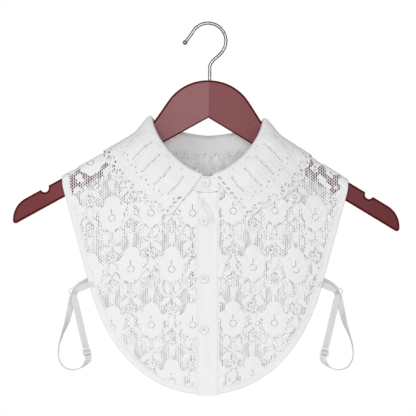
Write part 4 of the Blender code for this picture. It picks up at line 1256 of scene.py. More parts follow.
@dataclass
class LacePanels:
    """The two fronts and the back, cut from the all-over lace."""

    body: Body
    palette: Palette
    band_x: float = -0.6
    band_half: float = 12.9
    tuck: float = 5.0
    selvedge: float = 2.6
    wall: tuple[float, float] = (0.1, -0.3)
    stand_room: float = 0.65 + 0.3 + 0.6

    def neck(self, first: float, last: float, side: int) -> Array:
        """The panel's neck edge as (x, q), just outside the stand's foot."""
        x, q = self.body.seam(np.linspace(first, last, 40), self.stand_room - 1.0)
        return np.stack([x, side * np.maximum(np.abs(q), GAP)], 1)

    def front_outline(self, hand: int) -> Array:
        """Corners of one front as (x, q), tucked inside the binding and under the band."""
        inner = self.band_x + hand * (self.band_half - 2.0)
        start = math.degrees(math.asin((inner - self.body.neck_x) * hand / self.body.seam_half))
        neck = self.neck(hand * start, hand * 89.9, 1)
        edge = self.body.edge(hand, self.tuck, 1, inner, GAP)
        edge = resample(edge, 90)
        column = np.linspace((inner, edge[-1, 1]), (inner, neck[0, 1]), 30)[1:-1]
        neck[0, 0] = inner
        return np.concatenate([neck, edge, column])

    def back_outline(self) -> Array:
        """Corners of the back as (x, q)."""
        right = resample(self.body.edge(1, self.tuck, -1, self.body.drape.body_x, GAP), 90)
        left = resample(self.body.edge(-1, self.tuck, -1, self.body.drape.body_x, GAP), 90)
        neck = self.neck(90.1, 269.9, -1)
        return np.concatenate([neck[::-1], right, left[::-1][1:]])

    def build(self) -> None:
        """Makes the three panels."""
        lace = self.palette.get(Finish.LACE)
        fine = LacePattern()
        plain = LacePattern(pitch=(4.7, 2.95), hole=(1.6, 1.0), columns=30, fine=False)
        specs = (
            ("lace_front_left", -1, 1, fine, 11, (-41.0, -281.0), "front_panel_left"),
            ("lace_front_right", 1, 1, fine, 23, (52.0, -278.0), "front_panel_right"),
            ("lace_back", 0, -1, plain, 37, (4.0, -262.0), "back_panel"),
        )
        for name, hand, side, pattern, seed, flower, node in specs:
            outline = self.front_outline(hand) if hand else self.back_outline()
            panel = self.upright(outline, side)
            at = [[flower[0], float(self.body.drape.q_at(flower[0], flower[1], side))]]
            shift = self.upright(np.array(at), side)[0]
            shoulder = lambda places, side=side: bump(np.abs(self.from_upright(places, side)[:, 1]), 17.0, 15.0)
            cut = pattern.piece(panel, seed, tuple(shift), shoulder)
            edge = resample(np.concatenate([panel, panel[:1]]), 200)
            inward = strip(edge, self.selvedge, 3, 0.15)
            depth, nearest = reach_inside(panel, inward.flat)
            inward.flat = np.where(depth[:, None] < 0, nearest, inward.flat)
            cut = joined([cut, inward])
            cut.flat = self.from_upright(cut.flat, side)
            piece = add_shell(name, cut, self.body.drape.lay, self.wall, lace)
            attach(piece, "root")
            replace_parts(piece, node)
            arms = ["hanger_arm_left", "hanger_arm_right"] if not hand else [f"hanger_arm_{node[12:]}"]
            declare_sheet(piece, self.body.drape.lay, outline, "draped", arms)

    def upright(self, flat: Array, side: int) -> Array:
        """Places (x, q) as places on the cloth's own grain, seen from outside with y up.

        The grain hangs straight, so y is the shoulder line's height less the length down.
        """
        y = self.body.drape.ridge(flat[:, 0]) - np.abs(flat[:, 1])
        return np.stack([side * flat[:, 0], y], 1)

    def from_upright(self, places: Array, side: int) -> Array:
        """Places on the cloth's grain as (x, q)."""
        x = side * places[:, 0]
        return np.stack([x, side * np.maximum(self.body.drape.ridge(x) - places[:, 1], 0.0)], 1)


# Turned-down collar


@dataclass
class CollarFall:
    """The turned-down collar: two halves of cutwork lace with a scalloped edge.

    Places on a half are (along, down): along from the front edge to the middle of the back,
    down from the fold to the scallops.
    """

    body: Body
    palette: Palette
    start_angle: float = 4.5
    front_q: float = 101.0
    back_q: float = -54.0
    tip_q: float = 126.5
    nape_q: float = -120.0
    reach: float = 117.0
    tip_turn: float = 17.5
    side_turn: float = 85.0
    length: float = 220.0
    depth: float = 60.0
    over_stand: float = 2.9
    over_lap: float = 4.4
    over_body: float = 2.3
    lap_spread: float = 1.3
    lands: float = 22.0
    landing: float = 18.0
    steep_share: float = 0.4
    roll: float = 4.0
    scallops: int = 13
    scallop_rise: float = 4.6
    step: tuple[float, float] = (0.8, 0.52)
    wall: tuple[float, float] = (0.5, -0.5)

    def lay(self, hand: int, flat: Array, out: Array) -> Array:
        """Flat places of one half, in space.

        The fold follows the collar's fold ring and the edge lies on the draped body. Between
        them the cloth goes straight over the surface, and the fold's height over it fades.

        Args:
            hand: 1 on the viewer's right, -1 on the left.
            flat: Places (along, down).
            out: Height over the middle layer.

        Returns:
            Points in space.
        """
        along, down = flat[:, 0], flat[:, 1]
        drape = self.body.drape
        angle = mix(self.start_angle, 180.0, along / self.length)
        turn = np.radians(angle)
        front = angle <= 90
        t = down / self.depth
        fold_x = self.body.fold_half * np.sin(turn)
        fold_q = np.where(front, self.front_q, self.back_q) * np.cos(turn) ** 2
        ahead = self.tip_q * (90 - angle) / (90 - self.start_angle)
        edge_q = np.where(front, ahead, self.nape_q * (angle - 90) / 90)
        behind = mix(self.side_turn, 180.0, (angle - 90) / 90)
        edge_turn = np.where(front, mix(self.tip_turn, self.side_turn, angle / 90), behind)
        edge_x = self.reach * np.sin(np.radians(edge_turn))
        x = self.body.neck_x + hand * mix(fold_x, edge_x, t)
        q = mix(fold_q, edge_q, t)
        rise = self.body.fold(hand * angle) - drape.point(self.body.neck_x + hand * fold_x, fold_q)
        base = drape.point(x, q) + rise * (1 - smooth(t / self.steep_share))[:, None]
        roll = np.sqrt(1 - (1 - np.clip(down / self.roll, 0, 1)) ** 2)
        lapped = np.where(front, np.cos(turn) ** 2, 0.0)
        over = mix(self.over_stand, self.over_lap, smooth(lapped * self.lap_spread))
        over = mix(over, self.over_body, smooth((down - self.lands) / self.landing)) * roll
        return base + drape.outward(x, q) * (over + out)[:, None]

    def edge_depth(self, along: Array) -> Array:
        """Length from fold to edge: the root of a sine, so scallops are round with sharp dips."""
        wave = np.abs(np.sin(along / self.length * self.scallops * math.pi))
        return self.depth - self.scallop_rise / 2 + self.scallop_rise * np.sqrt(wave)

    def ovals(self, random: np.random.Generator, first: int) -> list[tuple[float, float, float, float, float]]:
        """Cut-outs as (along, down, half length, half width, angle in degrees).

        A row lies along the front edge. Each scallop has a fan of ovals along its edge and
        dots above its flower, and a ladder of slits runs down between two scallops.
        """
        holes = [(4.6, 7.5 + 7.1 * k, 2.3, 1.6, 70.0) for k in range(first, 7)]
        pitch = self.length / self.scallops
        for k in range(self.scallops):
            middle = (k + 0.5) * pitch
            for lean, reach, long_half, wide_half in (
                (-80, 6.0, 1.5, 1.1),
                (-41, 6.0, 2.2, 1.35),
                (0, 6.6, 2.4, 1.5),
                (41, 6.0, 2.2, 1.35),
                (80, 6.0, 1.5, 1.1),
            ):
                turn = math.radians(lean + random.normal(0, 2.0))
                along = middle + reach * math.sin(turn)
                down = self.depth - 7.8 + reach * math.cos(turn)
                if along > 3.9:
                    holes.append((along, down, long_half, wide_half, 90.0 - lean))
            for a in (-1, 1):
                if k:
                    holes.append((middle + 5.0 * a, self.depth - 18.4, 0.95, 0.65, 30 * a))
            holes.append((middle, self.depth - 20.8, 1.2, 0.7, 90))
            for a in range(3 if k else 0):
                holes.append((middle + 2.3 * (a - 1), 5.4 + random.normal(0, 0.1), 0.8, 0.42, 80))
        for k in range(1, self.scallops):
            for s in range(10):
                down = 11.5 + 2.75 * s
                wide = 1.35 + 0.2 * math.sin(1.3 * s + k)
                holes.append((k * pitch + random.normal(0, 0.12), down, wide, 0.42, 2.0))
        return holes

    def gauge(self, holes: Sequence[tuple[float, ...]]) -> Callable[[Array, Array], Array]:
        """The distance to the nearest edge or cut-out of one half.

        For an oval it is its scaled radius less one, times the mean of the half length and
        half width along that direction.
        """

        def depth(along: Array, down: Array) -> Array:
            """Distance at each place, positive in the cloth."""
            best = self.edge_depth(along) - down
            for x, y, long_half, wide_half, lean in holes:
                turn = math.radians(lean)
                dx, dy = along - x, down - y
                near = (np.abs(dx) < 6) & (np.abs(dy) < 6)
                a = dx[near] * math.cos(turn) + dy[near] * math.sin(turn)
                b = dy[near] * math.cos(turn) - dx[near] * math.sin(turn)
                far = np.hypot(a, b)
                scaled = np.maximum(np.hypot(a / long_half, b / wide_half), 1e-6)
                best[near] = np.minimum(best[near], far - far / scaled)
            return best

        return depth

    def relief(self, flat: Array, depth: Array) -> Array:
        """Raised threads: a cord round every edge, satin bands down it and flower petals."""
        along, down = flat[:, 0], flat[:, 1]
        pitch = self.length / self.scallops
        phase = along / pitch * 2 * math.pi
        cord = 0.42 * bump(depth, 0.6, 0.5)
        inner = smooth((down - 5) / 5) * (1 - smooth((down - 38) / 5))
        bands = 0.55 * inner * np.abs(np.sin(phase / 2)) ** 0.6
        lines = 0.16 * inner * np.cos(3 * phase) + 0.12 * np.cos(down * 2 * math.pi / 2.6) * (1 - inner)
        middle = (np.floor(along / pitch) + 0.5) * pitch
        far = np.hypot(along - middle, down - (self.depth - 12.6))
        around = np.arctan2(down - (self.depth - 12.6), along - middle)
        petals = 0.6 * bump(far, 3.4, 1.8) * np.abs(np.cos(3 * around)) ** 0.7
        petals += 0.6 * bump(far, 0.0, 1.1)
        edge_row = 0.2 * bump(along, 9.2, 0.8) * (down > 3)
        return cord + bands + lines + petals + edge_row

    def build(self) -> None:
        """Makes both halves."""
        lace = self.palette.get(Finish.COLLAR)
        for name, hand, node, seed in (
            ("cutwork_collar_left", -1, "collar_left", 5),
            ("cutwork_collar_right", 1, "collar_right", 6),
        ):
            holes = self.ovals(np.random.default_rng(seed), 4 if hand < 0 else 0)
            span = (0.0, 0.0, self.length - GAP / 2, self.depth + self.scallop_rise / 2)
            cut, depth = carve(span, self.step, self.gauge(holes))
            cut.relief = self.relief(cut.flat, depth)
            place = lambda flat, out, hand=hand: self.lay(hand, flat, out)
            piece = add_shell(name, cut, place, self.wall, lace)
            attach(piece, "root")
            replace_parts(piece, node)
            outline = rectangle((0, 0.2), (self.length - 0.4, self.depth))
            side = "left" if hand < 0 else "right"
            carried = ["standing_collar", f"lace_front_{side}", "lace_back"]
            declare_sheet(piece, place, outline, "folded", carried)


# Plain cotton pieces


def stitches(paths: Sequence[Array], pitch: float, length: float, width: float = 0.5) -> Cut:
    """Rows of stitches along flat paths, each a short domed dash.

    Args:
        paths: The rows, each n by 2.
        pitch: From one stitch to the next.
        length: Length of a stitch.
        width: Width of the thread.

    Returns:
        Every stitch as one cut.
    """
    dashes = []
    for path in paths:
        total = float(np.sum(np.linalg.norm(np.diff(path, axis=0), axis=1)))
        count = max(2, round(total / pitch))
        dense = resample(path, count * 4 + 1)
        step = total / (count * 4)
        for k in range(count):
            middle = dense[4 * k + 2]
            run = unit(dense[4 * k + 3] - dense[4 * k + 1]) if step > 1e-6 else np.array([1.0, 0.0])
            ends = middle + run * np.linspace(-length / 2, length / 2, 4)[:, None]
            dashes.append(strip(ends, np.array([0.45, 1.0, 1.0, 0.45]) * width, 3, 0.22))
    return joined(dashes)


@dataclass
class CottonTrim:
    """The standing collar, the button band and the bias binding, with their stitching."""

    body: Body
    palette: Palette
    stand_wall: float = 1.3
    lap_angle: float = 10.0
    lap_start: float = 322.0
    lap_run: float = 22.0
    lap_room: float = 0.1
    top_drop: float = 3.4
    foot_lift: float = 0.4
    foot_tuck: float = 1.1
    band_x: float = -0.6
    band_half: float = 12.9
    band_top: float = -193.5
    band_end: float = -425.3
    binding_width: float = 8.6

    def stand_lift(self, angle: Array) -> Array:
        """How far the lapping end lies over the other at the middle of the front."""
        lift = self.stand_wall + GAP + self.lap_room
        return lift * smooth((angle - self.lap_start) / self.lap_run)

    def stand_point(self, angle: Array, share: Array, lift: Array) -> Array:
        """Points of the standing collar: share 0 at the neck seam, 1 at the fold."""
        foot = self.body.drape.point(*self.body.seam(angle))
        head = self.body.fold(angle)
        up = unit(head - foot)
        foot = foot + up * self.foot_lift
        turn = np.radians(angle)
        level = np.stack([np.sin(turn), -np.cos(turn), np.zeros_like(turn)], axis=-1)
        out = unit(level - up * np.sum(level * up, axis=-1, keepdims=True))
        return foot + (head - foot) * share[..., None] + out * lift[..., None]

    def lay_stand(self, flat: Array, out: Array) -> Array:
        """Flat places (angle, millimetres up) of the stand, in space."""
        angle = flat[:, 0]
        height = np.linalg.norm(
            self.body.fold(angle) - self.body.drape.point(*self.body.seam(angle)), axis=-1
        )
        share = flat[:, 1] / height
        return self.stand_point(angle, share, self.stand_lift(angle) + out)

    def stand(self) -> tuple[bpy.types.Object, bpy.types.Object]:
        """The standing collar and its stitching."""
        angle = np.linspace(-self.lap_angle, 360 + self.lap_angle, 241)
        seam = self.body.drape.point(*self.body.seam(angle))
        height = np.linalg.norm(self.body.fold(angle) - seam, axis=-1)
        share = np.linspace(0, 1, 15)[:, None]
        up = -self.foot_tuck + share * (height - self.top_drop + self.foot_tuck)[None]
        flat = np.stack([np.broadcast_to(angle, up.shape), up], -1).reshape(-1, 2)
        end = np.minimum(angle + self.lap_angle, 360 + self.lap_angle - angle)
        edge = bump(share, 0.0, 0.12) + bump(share, 1.0, 0.12)
        relief = -0.22 * np.clip(edge, 0, 1) - 0.2 * bump(end[None], 0.0, 1.2)
        relief = relief + 0.1 * np.sin(np.radians(angle * 11.0))[None] * bump(share, 0.5, 0.4)
        cut = Cut(flat, [grid_faces(len(share), len(angle))], (relief + 0 * up).reshape(-1)).turned()
        cloth = self.palette.get(Finish.COTTON)
        piece = add_shell("standing_collar", cut, self.lay_stand, (0.65, -0.65), cloth)
        rows = []
        for inset in (1.6, -1.8):
            line = np.full(len(angle), inset) if inset > 0 else height - self.top_drop + inset
            rows.append(np.stack([angle, line], 1)[3:-3])
        # A degree of angle is about a millimetre at the neck, so a dash is drawn in degrees
        seams = joined([stitches([row], 2.4, 1.7) for row in rows])
        thread = self.palette.get(Finish.THREAD)
        sewn = add_shell("standing_collar_stitching", seams, self.lay_stand, (0.52, 0.3), thread)
        return piece, sewn

    def band(self) -> tuple[bpy.types.Object, bpy.types.Object]:
        """The button band, with folded edges and a soft crease below the neck."""
        z = np.linspace(self.band_top, self.band_end, 150)[:, None]
        s = np.linspace(-1, 1, 27)[None]
        x = self.band_x + self.band_half * s + 0 * z
        q = self.body.drape.q_at(x, z)
        lean = (x - self.band_x) + (z + 214) * 0.55
        crease = -2.2 * bump(lean, 1.0, 5.6) * bump(z, -214.0, 18.0)
        crease = crease + 2.0 * bump(lean, 8.5, 5.0) * bump(z, -218.0, 17.0)
        crease = crease - 1.0 * bump(x - self.band_x, 5.0, 3.0) * bump(z, -246.0, 15.0)
        crease = crease - 0.8 * bump(x - self.band_x, -5.0, 3.0) * bump(z, -320.0, 22.0)
        crease = crease - 0.8 * bump(x - self.band_x, 3.0, 4.0) * bump(z, -386.0, 18.0)
        edges = 0.25 * bump(np.abs(s), 0.93, 0.05) - 0.35 * bump(np.abs(s), 1.0, 0.03)
        waves = 0.12 * np.sin(z / 5.1 + 2 * s) * np.abs(s)
        relief = crease + edges + waves
        flat = np.stack([x, q], -1).reshape(-1, 2)
        cut = Cut(flat, [grid_faces(len(z), s.size)], relief.reshape(-1)).turned()
        piece = add_shell(
            "button_placket", cut, self.body.drape.lay, (0.75, -0.7), self.palette.get(Finish.COTTON)
        )
        paths = []
        for hand in (-1, 1):
            for inset in (2.1,):
                line_x = np.full(120, self.band_x + hand * (self.band_half - inset))
                line_z = np.linspace(self.band_top - 1, self.band_end + 1, 120)
                paths.append(np.stack([line_x, self.body.drape.q_at(line_x, line_z)], 1))
        seams = stitches(paths, 2.5, 1.8)
        sewn = add_shell(
            "button_placket_stitching",
            seams,
            self.body.drape.lay,
            (1.0, 0.6),
            self.palette.get(Finish.THREAD),
        )
        return piece, sewn

    def binding_line(self, hand: int, inset: float) -> Array:
        """One line of the binding, from the front's hem over the shoulder to the back's."""
        band_edge = self.band_x + hand * (self.band_half + GAP)
        front = resample(self.body.edge(hand, inset, 1, band_edge, GAP), 130)
        back = resample(self.body.edge(hand, inset, -1, self.body.drape.body_x + hand * GAP, GAP), 130)
        front[0, 1] = back[0, 1] = 0.0
        return np.concatenate([front[::-1], back[1:]])

    def binding(self, hand: int) -> tuple[bpy.types.Object, bpy.types.Object]:
        """Bias binding round one half, folded over the edge, slightly puckered."""
        drape = self.body.drape
        shares = np.array([0.0, 0.04, 0.12, 0.3, 0.5, 0.7, 0.82, 0.9, 0.97, 1.0])
        rings = np.stack([self.binding_line(hand, self.binding_width * share) for share in shares])
        along = np.arange(rings.shape[1]) * 3.0
        profile = np.array([-0.75, -0.25, 0.0, 0.1, 0.12, 0.1, 0.02, -0.1, -0.3, -0.5])
        pucker = 0.11 * np.sin(along / 4.2) + 0.07 * np.sin(along / 2.3 + 1.0)
        relief = profile[:, None] + pucker[None] * np.sin(math.pi * shares)[:, None]
        cut = Cut(
            rings.reshape(-1, 2), [grid_faces(*rings.shape[:2])], relief.reshape(-1)
        ).turned()
        name = "left" if hand < 0 else "right"
        piece = add_shell(
            f"bias_binding_{name}", cut, drape.lay, (0.8, -0.8), self.palette.get(Finish.COTTON)
        )
        seams = stitches([self.binding_line(hand, self.binding_width - 1.5)], 2.6, 1.9)
        sewn = add_shell(
            f"bias_binding_stitching_{name}",
            seams,
            drape.lay,
            (0.88, 0.4),
            self.palette.get(Finish.THREAD),
        )
        return piece, sewn

    def build(self) -> None:
        """Makes every cotton piece. The bindings are narrower than the stand and the band, and aren't passed to
        declare_sheet.
        """
        fronts = ["lace_front_left", "lace_front_right"]
        low_q, high_q = (float(self.body.drape.q_at(self.band_x, z)) for z in (self.band_top, self.band_end))
        side = self.band_half
        cuts = {
            "collar_stand": (rectangle((-9.6, 0.0), (369.6, 26.0)), "folded", [*fronts, "lace_back"]),
            "button_band": (
                rectangle((self.band_x - side, low_q), (self.band_x + side, high_q)),
                "laid",
                fronts,
            ),
        }
        for node, made in (
            ("collar_stand", self.stand()),
            ("button_band", self.band()),
            ("binding_left", self.binding(-1)),
            ("binding_right", self.binding(1)),
        ):
            for piece in made:
                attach(piece, "root")
            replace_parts(made[0], node)
            if node not in cuts:
                continue
            outline, held, carried = cuts[node]
            place = self.lay_stand if node == "collar_stand" else self.body.drape.lay
            declare_sheet(made[0], place, outline, held, carried)


@dataclass
class Buttons:
    """Four-hole shirt buttons, sewn on with two rows of thread each."""

    trim: CottonTrim
    palette: Palette
    radius: float = 5.3
    thick: float = 2.2
    hole: float = 0.62
    hole_out: float = 1.25
    lift: float = 1.25
    places: tuple[tuple[str, float, float], ...] = (
        ("neck", -2.5, -183.2),
        ("top", -4.8, -226.4),
        ("middle", -4.5, -291.5),
        ("low", -4.5, -349.6),
    )

    def seat(self, x: float, z: float) -> tuple[Array, Array]:
        """The middle of a button's back and the direction that it faces."""
        body, drape = self.trim.body, self.trim.body.drape
        if z > body.seam_front_z:
            angle = np.array([360 + math.degrees(math.asin((x - body.neck_x) / body.fold_half))])
            foot, head = drape.point(*body.seam(angle))[0], body.fold(angle)[0]
            share = np.array([(z - foot[2]) / (head[2] - foot[2])])
            lift = self.trim.stand_lift(angle) + self.trim.stand_wall / 2 + 2 * GAP
            point = self.trim.stand_point(angle, share, lift)[0]
            return point, unit(point - self.trim.stand_point(angle, share, lift - 1.0)[0])
        q = drape.q_at(x, z)
        normal = drape.outward(np.array([x]), np.array([q]))[0]
        return drape.point(np.array([x]), np.array([q]))[0] + normal * self.lift, normal

    def build(self) -> None:
        """Makes the buttons: a turned dish with a raised rim, cut by four holes."""
        turns = [math.radians(45 + 90 * k) for k in range(4)]
        spots = [(self.hole_out * math.cos(t), self.hole_out * math.sin(t)) for t in turns]

        def depth(x: Array, y: Array) -> Array:
            """Distance to the rim or the nearest hole."""
            best = self.radius - np.hypot(x, y)
            for a, b in spots:
                best = np.minimum(best, np.hypot(x - a, y - b) - self.hole)
            return best

        edge = self.radius + 0.2
        cut, depths = carve((-edge, -edge, edge, edge), (0.3, 0.3), depth)
        far = np.hypot(cut.flat[:, 0], cut.flat[:, 1]) / self.radius
        top = 1.3 + 0.8 * bump(far, 0.8, 0.16) - 0.55 * smooth((far - 0.86) / 0.14)
        cut.relief = top - 0.25 * bump(depths, 0.0, 0.2) * (far < 0.6)
        for name, x, z in self.places:
            point, normal = self.seat(x, z)
            right = unit(np.cross(np.array([0.0, 0.0, 1.0]), normal))
            up = np.cross(normal, right)

            def place(flat: Array, out: Array) -> Array:
                """A button's flat places in space; the rim's back is drawn in."""
                inner = np.where(out < 0.2, 0.84, 1.0)[:, None]
                return point + flat[:, :1] * inner * right + flat[:, 1:] * inner * up + out[:, None] * normal

            made = add_shell(f"shirt_button_{name}", cut, place, (0.0, 0.05), self.palette.get(Finish.BUTTON))
            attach(made, "root")
            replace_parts(made, f"button_{name}")
            threads = []
            for a, b in ((0, 1), (2, 3)):
                for off in (-0.2, 0.2):
                    start, end = np.array(spots[a]), np.array(spots[b])
                    t = np.linspace(0, 1, 9)
                    line = start + (end - start) * t[:, None] + np.array([0.0, off])
                    high = 1.35 + 0.55 * np.sin(math.pi * t) ** 0.5 - 0.7 * (t < 0.05) - 0.7 * (t > 0.95)
                    path = point + line[:, :1] * right + line[:, 1:] * up + high[:, None] * normal
                    threads.append(tube(path, 0.19, 6))
            sewn = add_piece(f"button_thread_{name}", *gather(threads), self.palette.get(Finish.THREAD), None)
            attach(sewn, "root")


# Side straps


@dataclass
class SideStrap:
    """One adjustable side strap: tab, ring, elastic and slider."""

    body: Body
    palette: Palette
    hand: int
    ring_out: float = 152.4
    ring_z: float = -307.4
    ring_radius: float = 4.4
    ring_wire: float = 0.65
    strap_y: float = -13.0
    slider_out: float = 136.2
    slider_z: float = -377.3
    slider_half: float = 5.0
    bar_step: float = 4.6
    bar: float = 0.65
    corner: float = 1.6
    wall: float = 1.0
    width: float = 7.2
    tab_width: float = 6.8
    ring_width: float = 3.6
    ring_bend: float = 0.65 + 0.3 + 0.5 + 0.75
    slider_bend: float = 0.65 + 0.3 + 0.5 + 0.35
    apart: float = 0.85
    flare: tuple[float, float] = (5.0, 1.3)
    tab_rise: float = 10.5
    sew_inset: float = 4.0
    sew_room: float = 1.0
    binding_wall: float = 2.0
    back_end_z: float = -293.4
    weave_up: tuple[tuple[float, float, float], ...] = (
        (0.5, 1, 0.7),
        (1.0, 2, 0.2),
        (1.5, 2, 0.0),
        (2.4, 0, 1.7),
        (3.5, 0, 0.85),
    )
    weave_down: tuple[tuple[float, float, float], ...] = (
        (3.2, 0, -0.7),
        (2.2, 0, 0.4),
        (1.5, 1, 0.0),
        (1.0, 1, 0.15),
        (0.72, 1, -0.5),
        (0.5, 0, 0.0),
        (0.38, -1, 0.0),
        (0.15, -2, 0.0),
        (-0.15, -2, 0.0),
        (-0.38, -1, 0.0),
        (-0.5, 0, 0.0),
        (-0.72, 1, -0.5),
        (-1.0, 1, 0.15),
        (-1.6, 1, 0.5),
    )
    loop: tuple[tuple[float, float, float, float, float], ...] = (
        (136.6, -9.6, -388.2, 0.25, 0.0),
        (142.0, -8.4, -393.6, 0.7, 0.0),
        (150.0, -7.6, -397.0, 1.0, 0.0),
        (159.0, -6.6, -396.2, 1.0, 0.0),
        (166.0, -5.2, -391.0, 1.0, 0.0),
        (169.6, -3.4, -382.0, 1.0, 0.0),
        (169.2, -1.0, -370.0, 0.95, 0.0),
        (165.6, 1.6, -357.0, 0.8, 0.0),
        (160.8, 4.2, -344.0, 0.5, 0.0),
        (157.2, 6.6, -330.0, 0.2, 0.0),
        (154.4, 8.8, -316.0, 0.0, 0.15),
        (149.0, 11.0, -304.0, 0.0, 0.5),
        (141.5, 13.2, -298.2, 0.0, 0.9),
    )

    def __post_init__(self) -> None:
        """Finds the strap's own directions: up the front run, across it and to the back."""
        centre = self.body.drape.body_x
        self.slider = np.array([centre + self.hand * self.slider_out, self.strap_y, self.slider_z])
        self.ring = np.array([centre + self.hand * self.ring_out, self.strap_y, self.ring_z])
        self.up = unit(self.ring - self.slider)
        self.back = np.array([0.0, 1.0, 0.0])
        self.across = np.cross(self.up, self.back)
        self.name = "left" if self.hand < 0 else "right"

    def half_turn(self, middle: float, radius: float, start: float, end: float) -> list[tuple[float, float]]:
        """A bend round a bar, as (along, behind) on a half circle."""
        turn = np.radians(np.linspace(start, end, 7))
        return [(middle + radius * math.cos(t), radius * math.sin(t)) for t in turn]

    def woven(self, table: Sequence[tuple[float, float, float]]) -> list[tuple[float, float]]:
        """A weave table's places: bar steps along, bends behind and a little extra."""
        return [(s * self.bar_step, b * self.slider_bend + extra) for s, b, extra in table]

    def inside_binding(self, z: float, side: int, depth: float) -> Array:
        """Where a strap is sewn in, behind the binding."""
        drape = self.body.drape
        half = self.body.side_end_half + self.body.lean * (z - self.body.side_end_z)
        x = np.array([drape.body_x + self.hand * (half - self.sew_inset)])
        q = drape.q_at(x, z, side)
        under = self.binding_wall / 2 + self.sew_room + depth
        return (drape.point(x, q) - drape.outward(x, q) * under)[0]

    def ribbon(self, name: str, points: Array, across: Array, width: Array, count: int) -> bpy.types.Object:
        """A ribbed elastic band along a smooth path.

        Args:
            name: The piece's name.
            points: Where it goes through.
            across: The direction of its width at each point.
            width: Its width at each point.
            count: Points along it.

        Returns:
            The band.
        """
        everything = through(np.concatenate([points, across, width[:, None]], 1), count)
        path, wide = everything[:, :3], everything[:, 6]
        along = unit(np.gradient(path, axis=0))
        side = everything[:, 3:6]
        side = unit(side - along * np.sum(side * along, axis=1, keepdims=True))
        normal = np.cross(along, side)
        s = np.linspace(-1, 1, 15)
        middle = path[:, None] + side[:, None] * (wide[:, None] / 2 * s)[..., None]
        ribs = 0.07 * np.cos(s * math.pi * 6) - 0.3 * np.abs(s) ** 8
        half = self.wall / 2 - 0.07 + ribs
        top = middle + normal[:, None] * half[None, :, None]
        bottom = middle - normal[:, None] * half[None, :, None]
        faces = grid_faces(count, len(s))
        n = count * len(s)
        ring = np.concatenate(
            [
                np.arange(len(s)),
                np.arange(2, count) * len(s) - 1,
                np.arange(n - 1, n - len(s) - 1, -1),
                np.arange(count - 2, 0, -1) * len(s),
            ]
        )
        ring_next = np.roll(ring, -1)
        walls = np.stack([ring, ring_next, ring_next + n, ring + n], 1)
        shape = np.concatenate([top.reshape(-1, 3), bottom.reshape(-1, 3)])
        run = np.concatenate([[0], np.cumsum(np.linalg.norm(np.diff(path, axis=0), axis=1))])
        flat = np.stack([(wide[:, None] / 2 * s), run[:, None] + 0 * s], -1).reshape(-1, 2)
        turned = [faces[:, ::-1], faces + n, walls]
        piece = add_piece(
            name,
            *outwards(shape, turned),
            self.palette.get(Finish.ELASTIC),
            np.concatenate([flat, flat]),
        )
        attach(piece, "root")
        return piece

    def elastic(self) -> bpy.types.Object:
        """The long band: slider, ring, slider again, and round its loop to the back."""
        reach = float(np.dot(self.ring - self.slider, self.up)) - self.ring_radius
        run = [(reach * t, self.apart) for t in (0.4, 0.6, 0.8)]
        run += [(reach - self.flare[0], self.flare[1])]
        in_ring = self.half_turn(reach, self.ring_bend, 90, -90)
        before = self.half_turn(0, self.slider_bend, 262, 90) + self.woven(self.weave_up) + run
        after = [(a, -y) for a, y in run[::-1]] + self.woven(self.weave_down)
        path = before + in_ring + after
        points = [self.slider + self.up * a + self.back * y for a, y in path]
        directions = [self.across] * len(points)
        upright = np.array([0.0, 0.0, -self.hand])
        width = [self.width] * len(before) + [self.ring_width] * len(in_ring)
        for out, y, z, turn, level in self.loop:
            points.append(np.array([self.body.drape.body_x + self.hand * out, y, z]))
            angle = turn * math.pi / 2
            turned = self.across * math.cos(angle) + self.hand * self.back * math.sin(angle)
            directions.append(mix(turned, upright, level))
        points.append(self.inside_binding(self.back_end_z, -1, self.wall / 2))
        directions.append(upright)
        width += [self.width] * (len(points) - len(width))
        return self.ribbon(
            f"ribbed_elastic_{self.name}", np.array(points), np.array(directions), np.array(width), 260
        )

    def tab(self) -> bpy.types.Object:
        """The short loop from inside the front's binding round the ring."""
        root = self.inside_binding(self.ring_z + self.tab_rise, 1, self.wall / 2 + self.apart)
        length = float(np.linalg.norm(root - self.ring))
        toward = (root - self.ring) / length
        back = unit(self.back - toward * np.dot(toward, self.back))
        across = np.cross(toward, back)
        lower = [(length, self.apart), (0.8 * length, self.apart)]
        lower += [(self.ring_radius + self.flare[0], self.flare[1])]
        in_ring = self.half_turn(self.ring_radius, self.ring_bend, 90, 270)
        path = lower + in_ring + [(a, -y) for a, y in lower[::-1]]
        points = np.array([self.ring + toward * a + back * y for a, y in path])
        width = [self.tab_width] * 3 + [self.ring_width] * len(in_ring) + [self.tab_width] * 3
        directions = np.array([across] * len(points))
        return self.ribbon(f"elastic_tab_{self.name}", points, directions, np.array(width), 60)

    def fittings(self) -> tuple[bpy.types.Object, bpy.types.Object]:
        """The moulded ring, a torus, and the slider, a rounded plate with two windows."""
        turn = np.linspace(0, 2 * math.pi, 48, endpoint=False)
        small = np.linspace(0, 2 * math.pi, 12, endpoint=False)
        far = self.ring_radius + self.ring_wire * np.cos(small)[None]
        x, z = far * np.cos(turn)[:, None], far * np.sin(turn)[:, None]
        y = self.ring_wire * np.sin(small)[None] + 0 * x
        shape = np.stack([x, y, z], -1).reshape(-1, 3) + self.ring
        faces = grid_faces(48, 12, True)
        k = np.arange(12)
        last = np.stack([47 * 12 + k, 47 * 12 + (k + 1) % 12, (k + 1) % 12, k], 1)
        fitting = self.palette.get(Finish.FITTING)
        ring = add_piece(f"moulded_ring_{self.name}", *outwards(shape, [faces, last]), fitting)
        half_w, half_h = self.slider_half, self.bar_step + self.bar
        window_w = self.slider_half - 2 * self.bar + GAP
        window_h = (self.bar_step - 2 * self.bar) / 2

        def box(x: Array, y: Array, w: float, h: float, r: float) -> Array:
            """Distance inside a box with round corners."""
            dx, dy = np.abs(x) - w + r, np.abs(y) - h + r
            return r - np.hypot(np.maximum(dx, 0), np.maximum(dy, 0)) - np.minimum(np.maximum(dx, dy), 0)

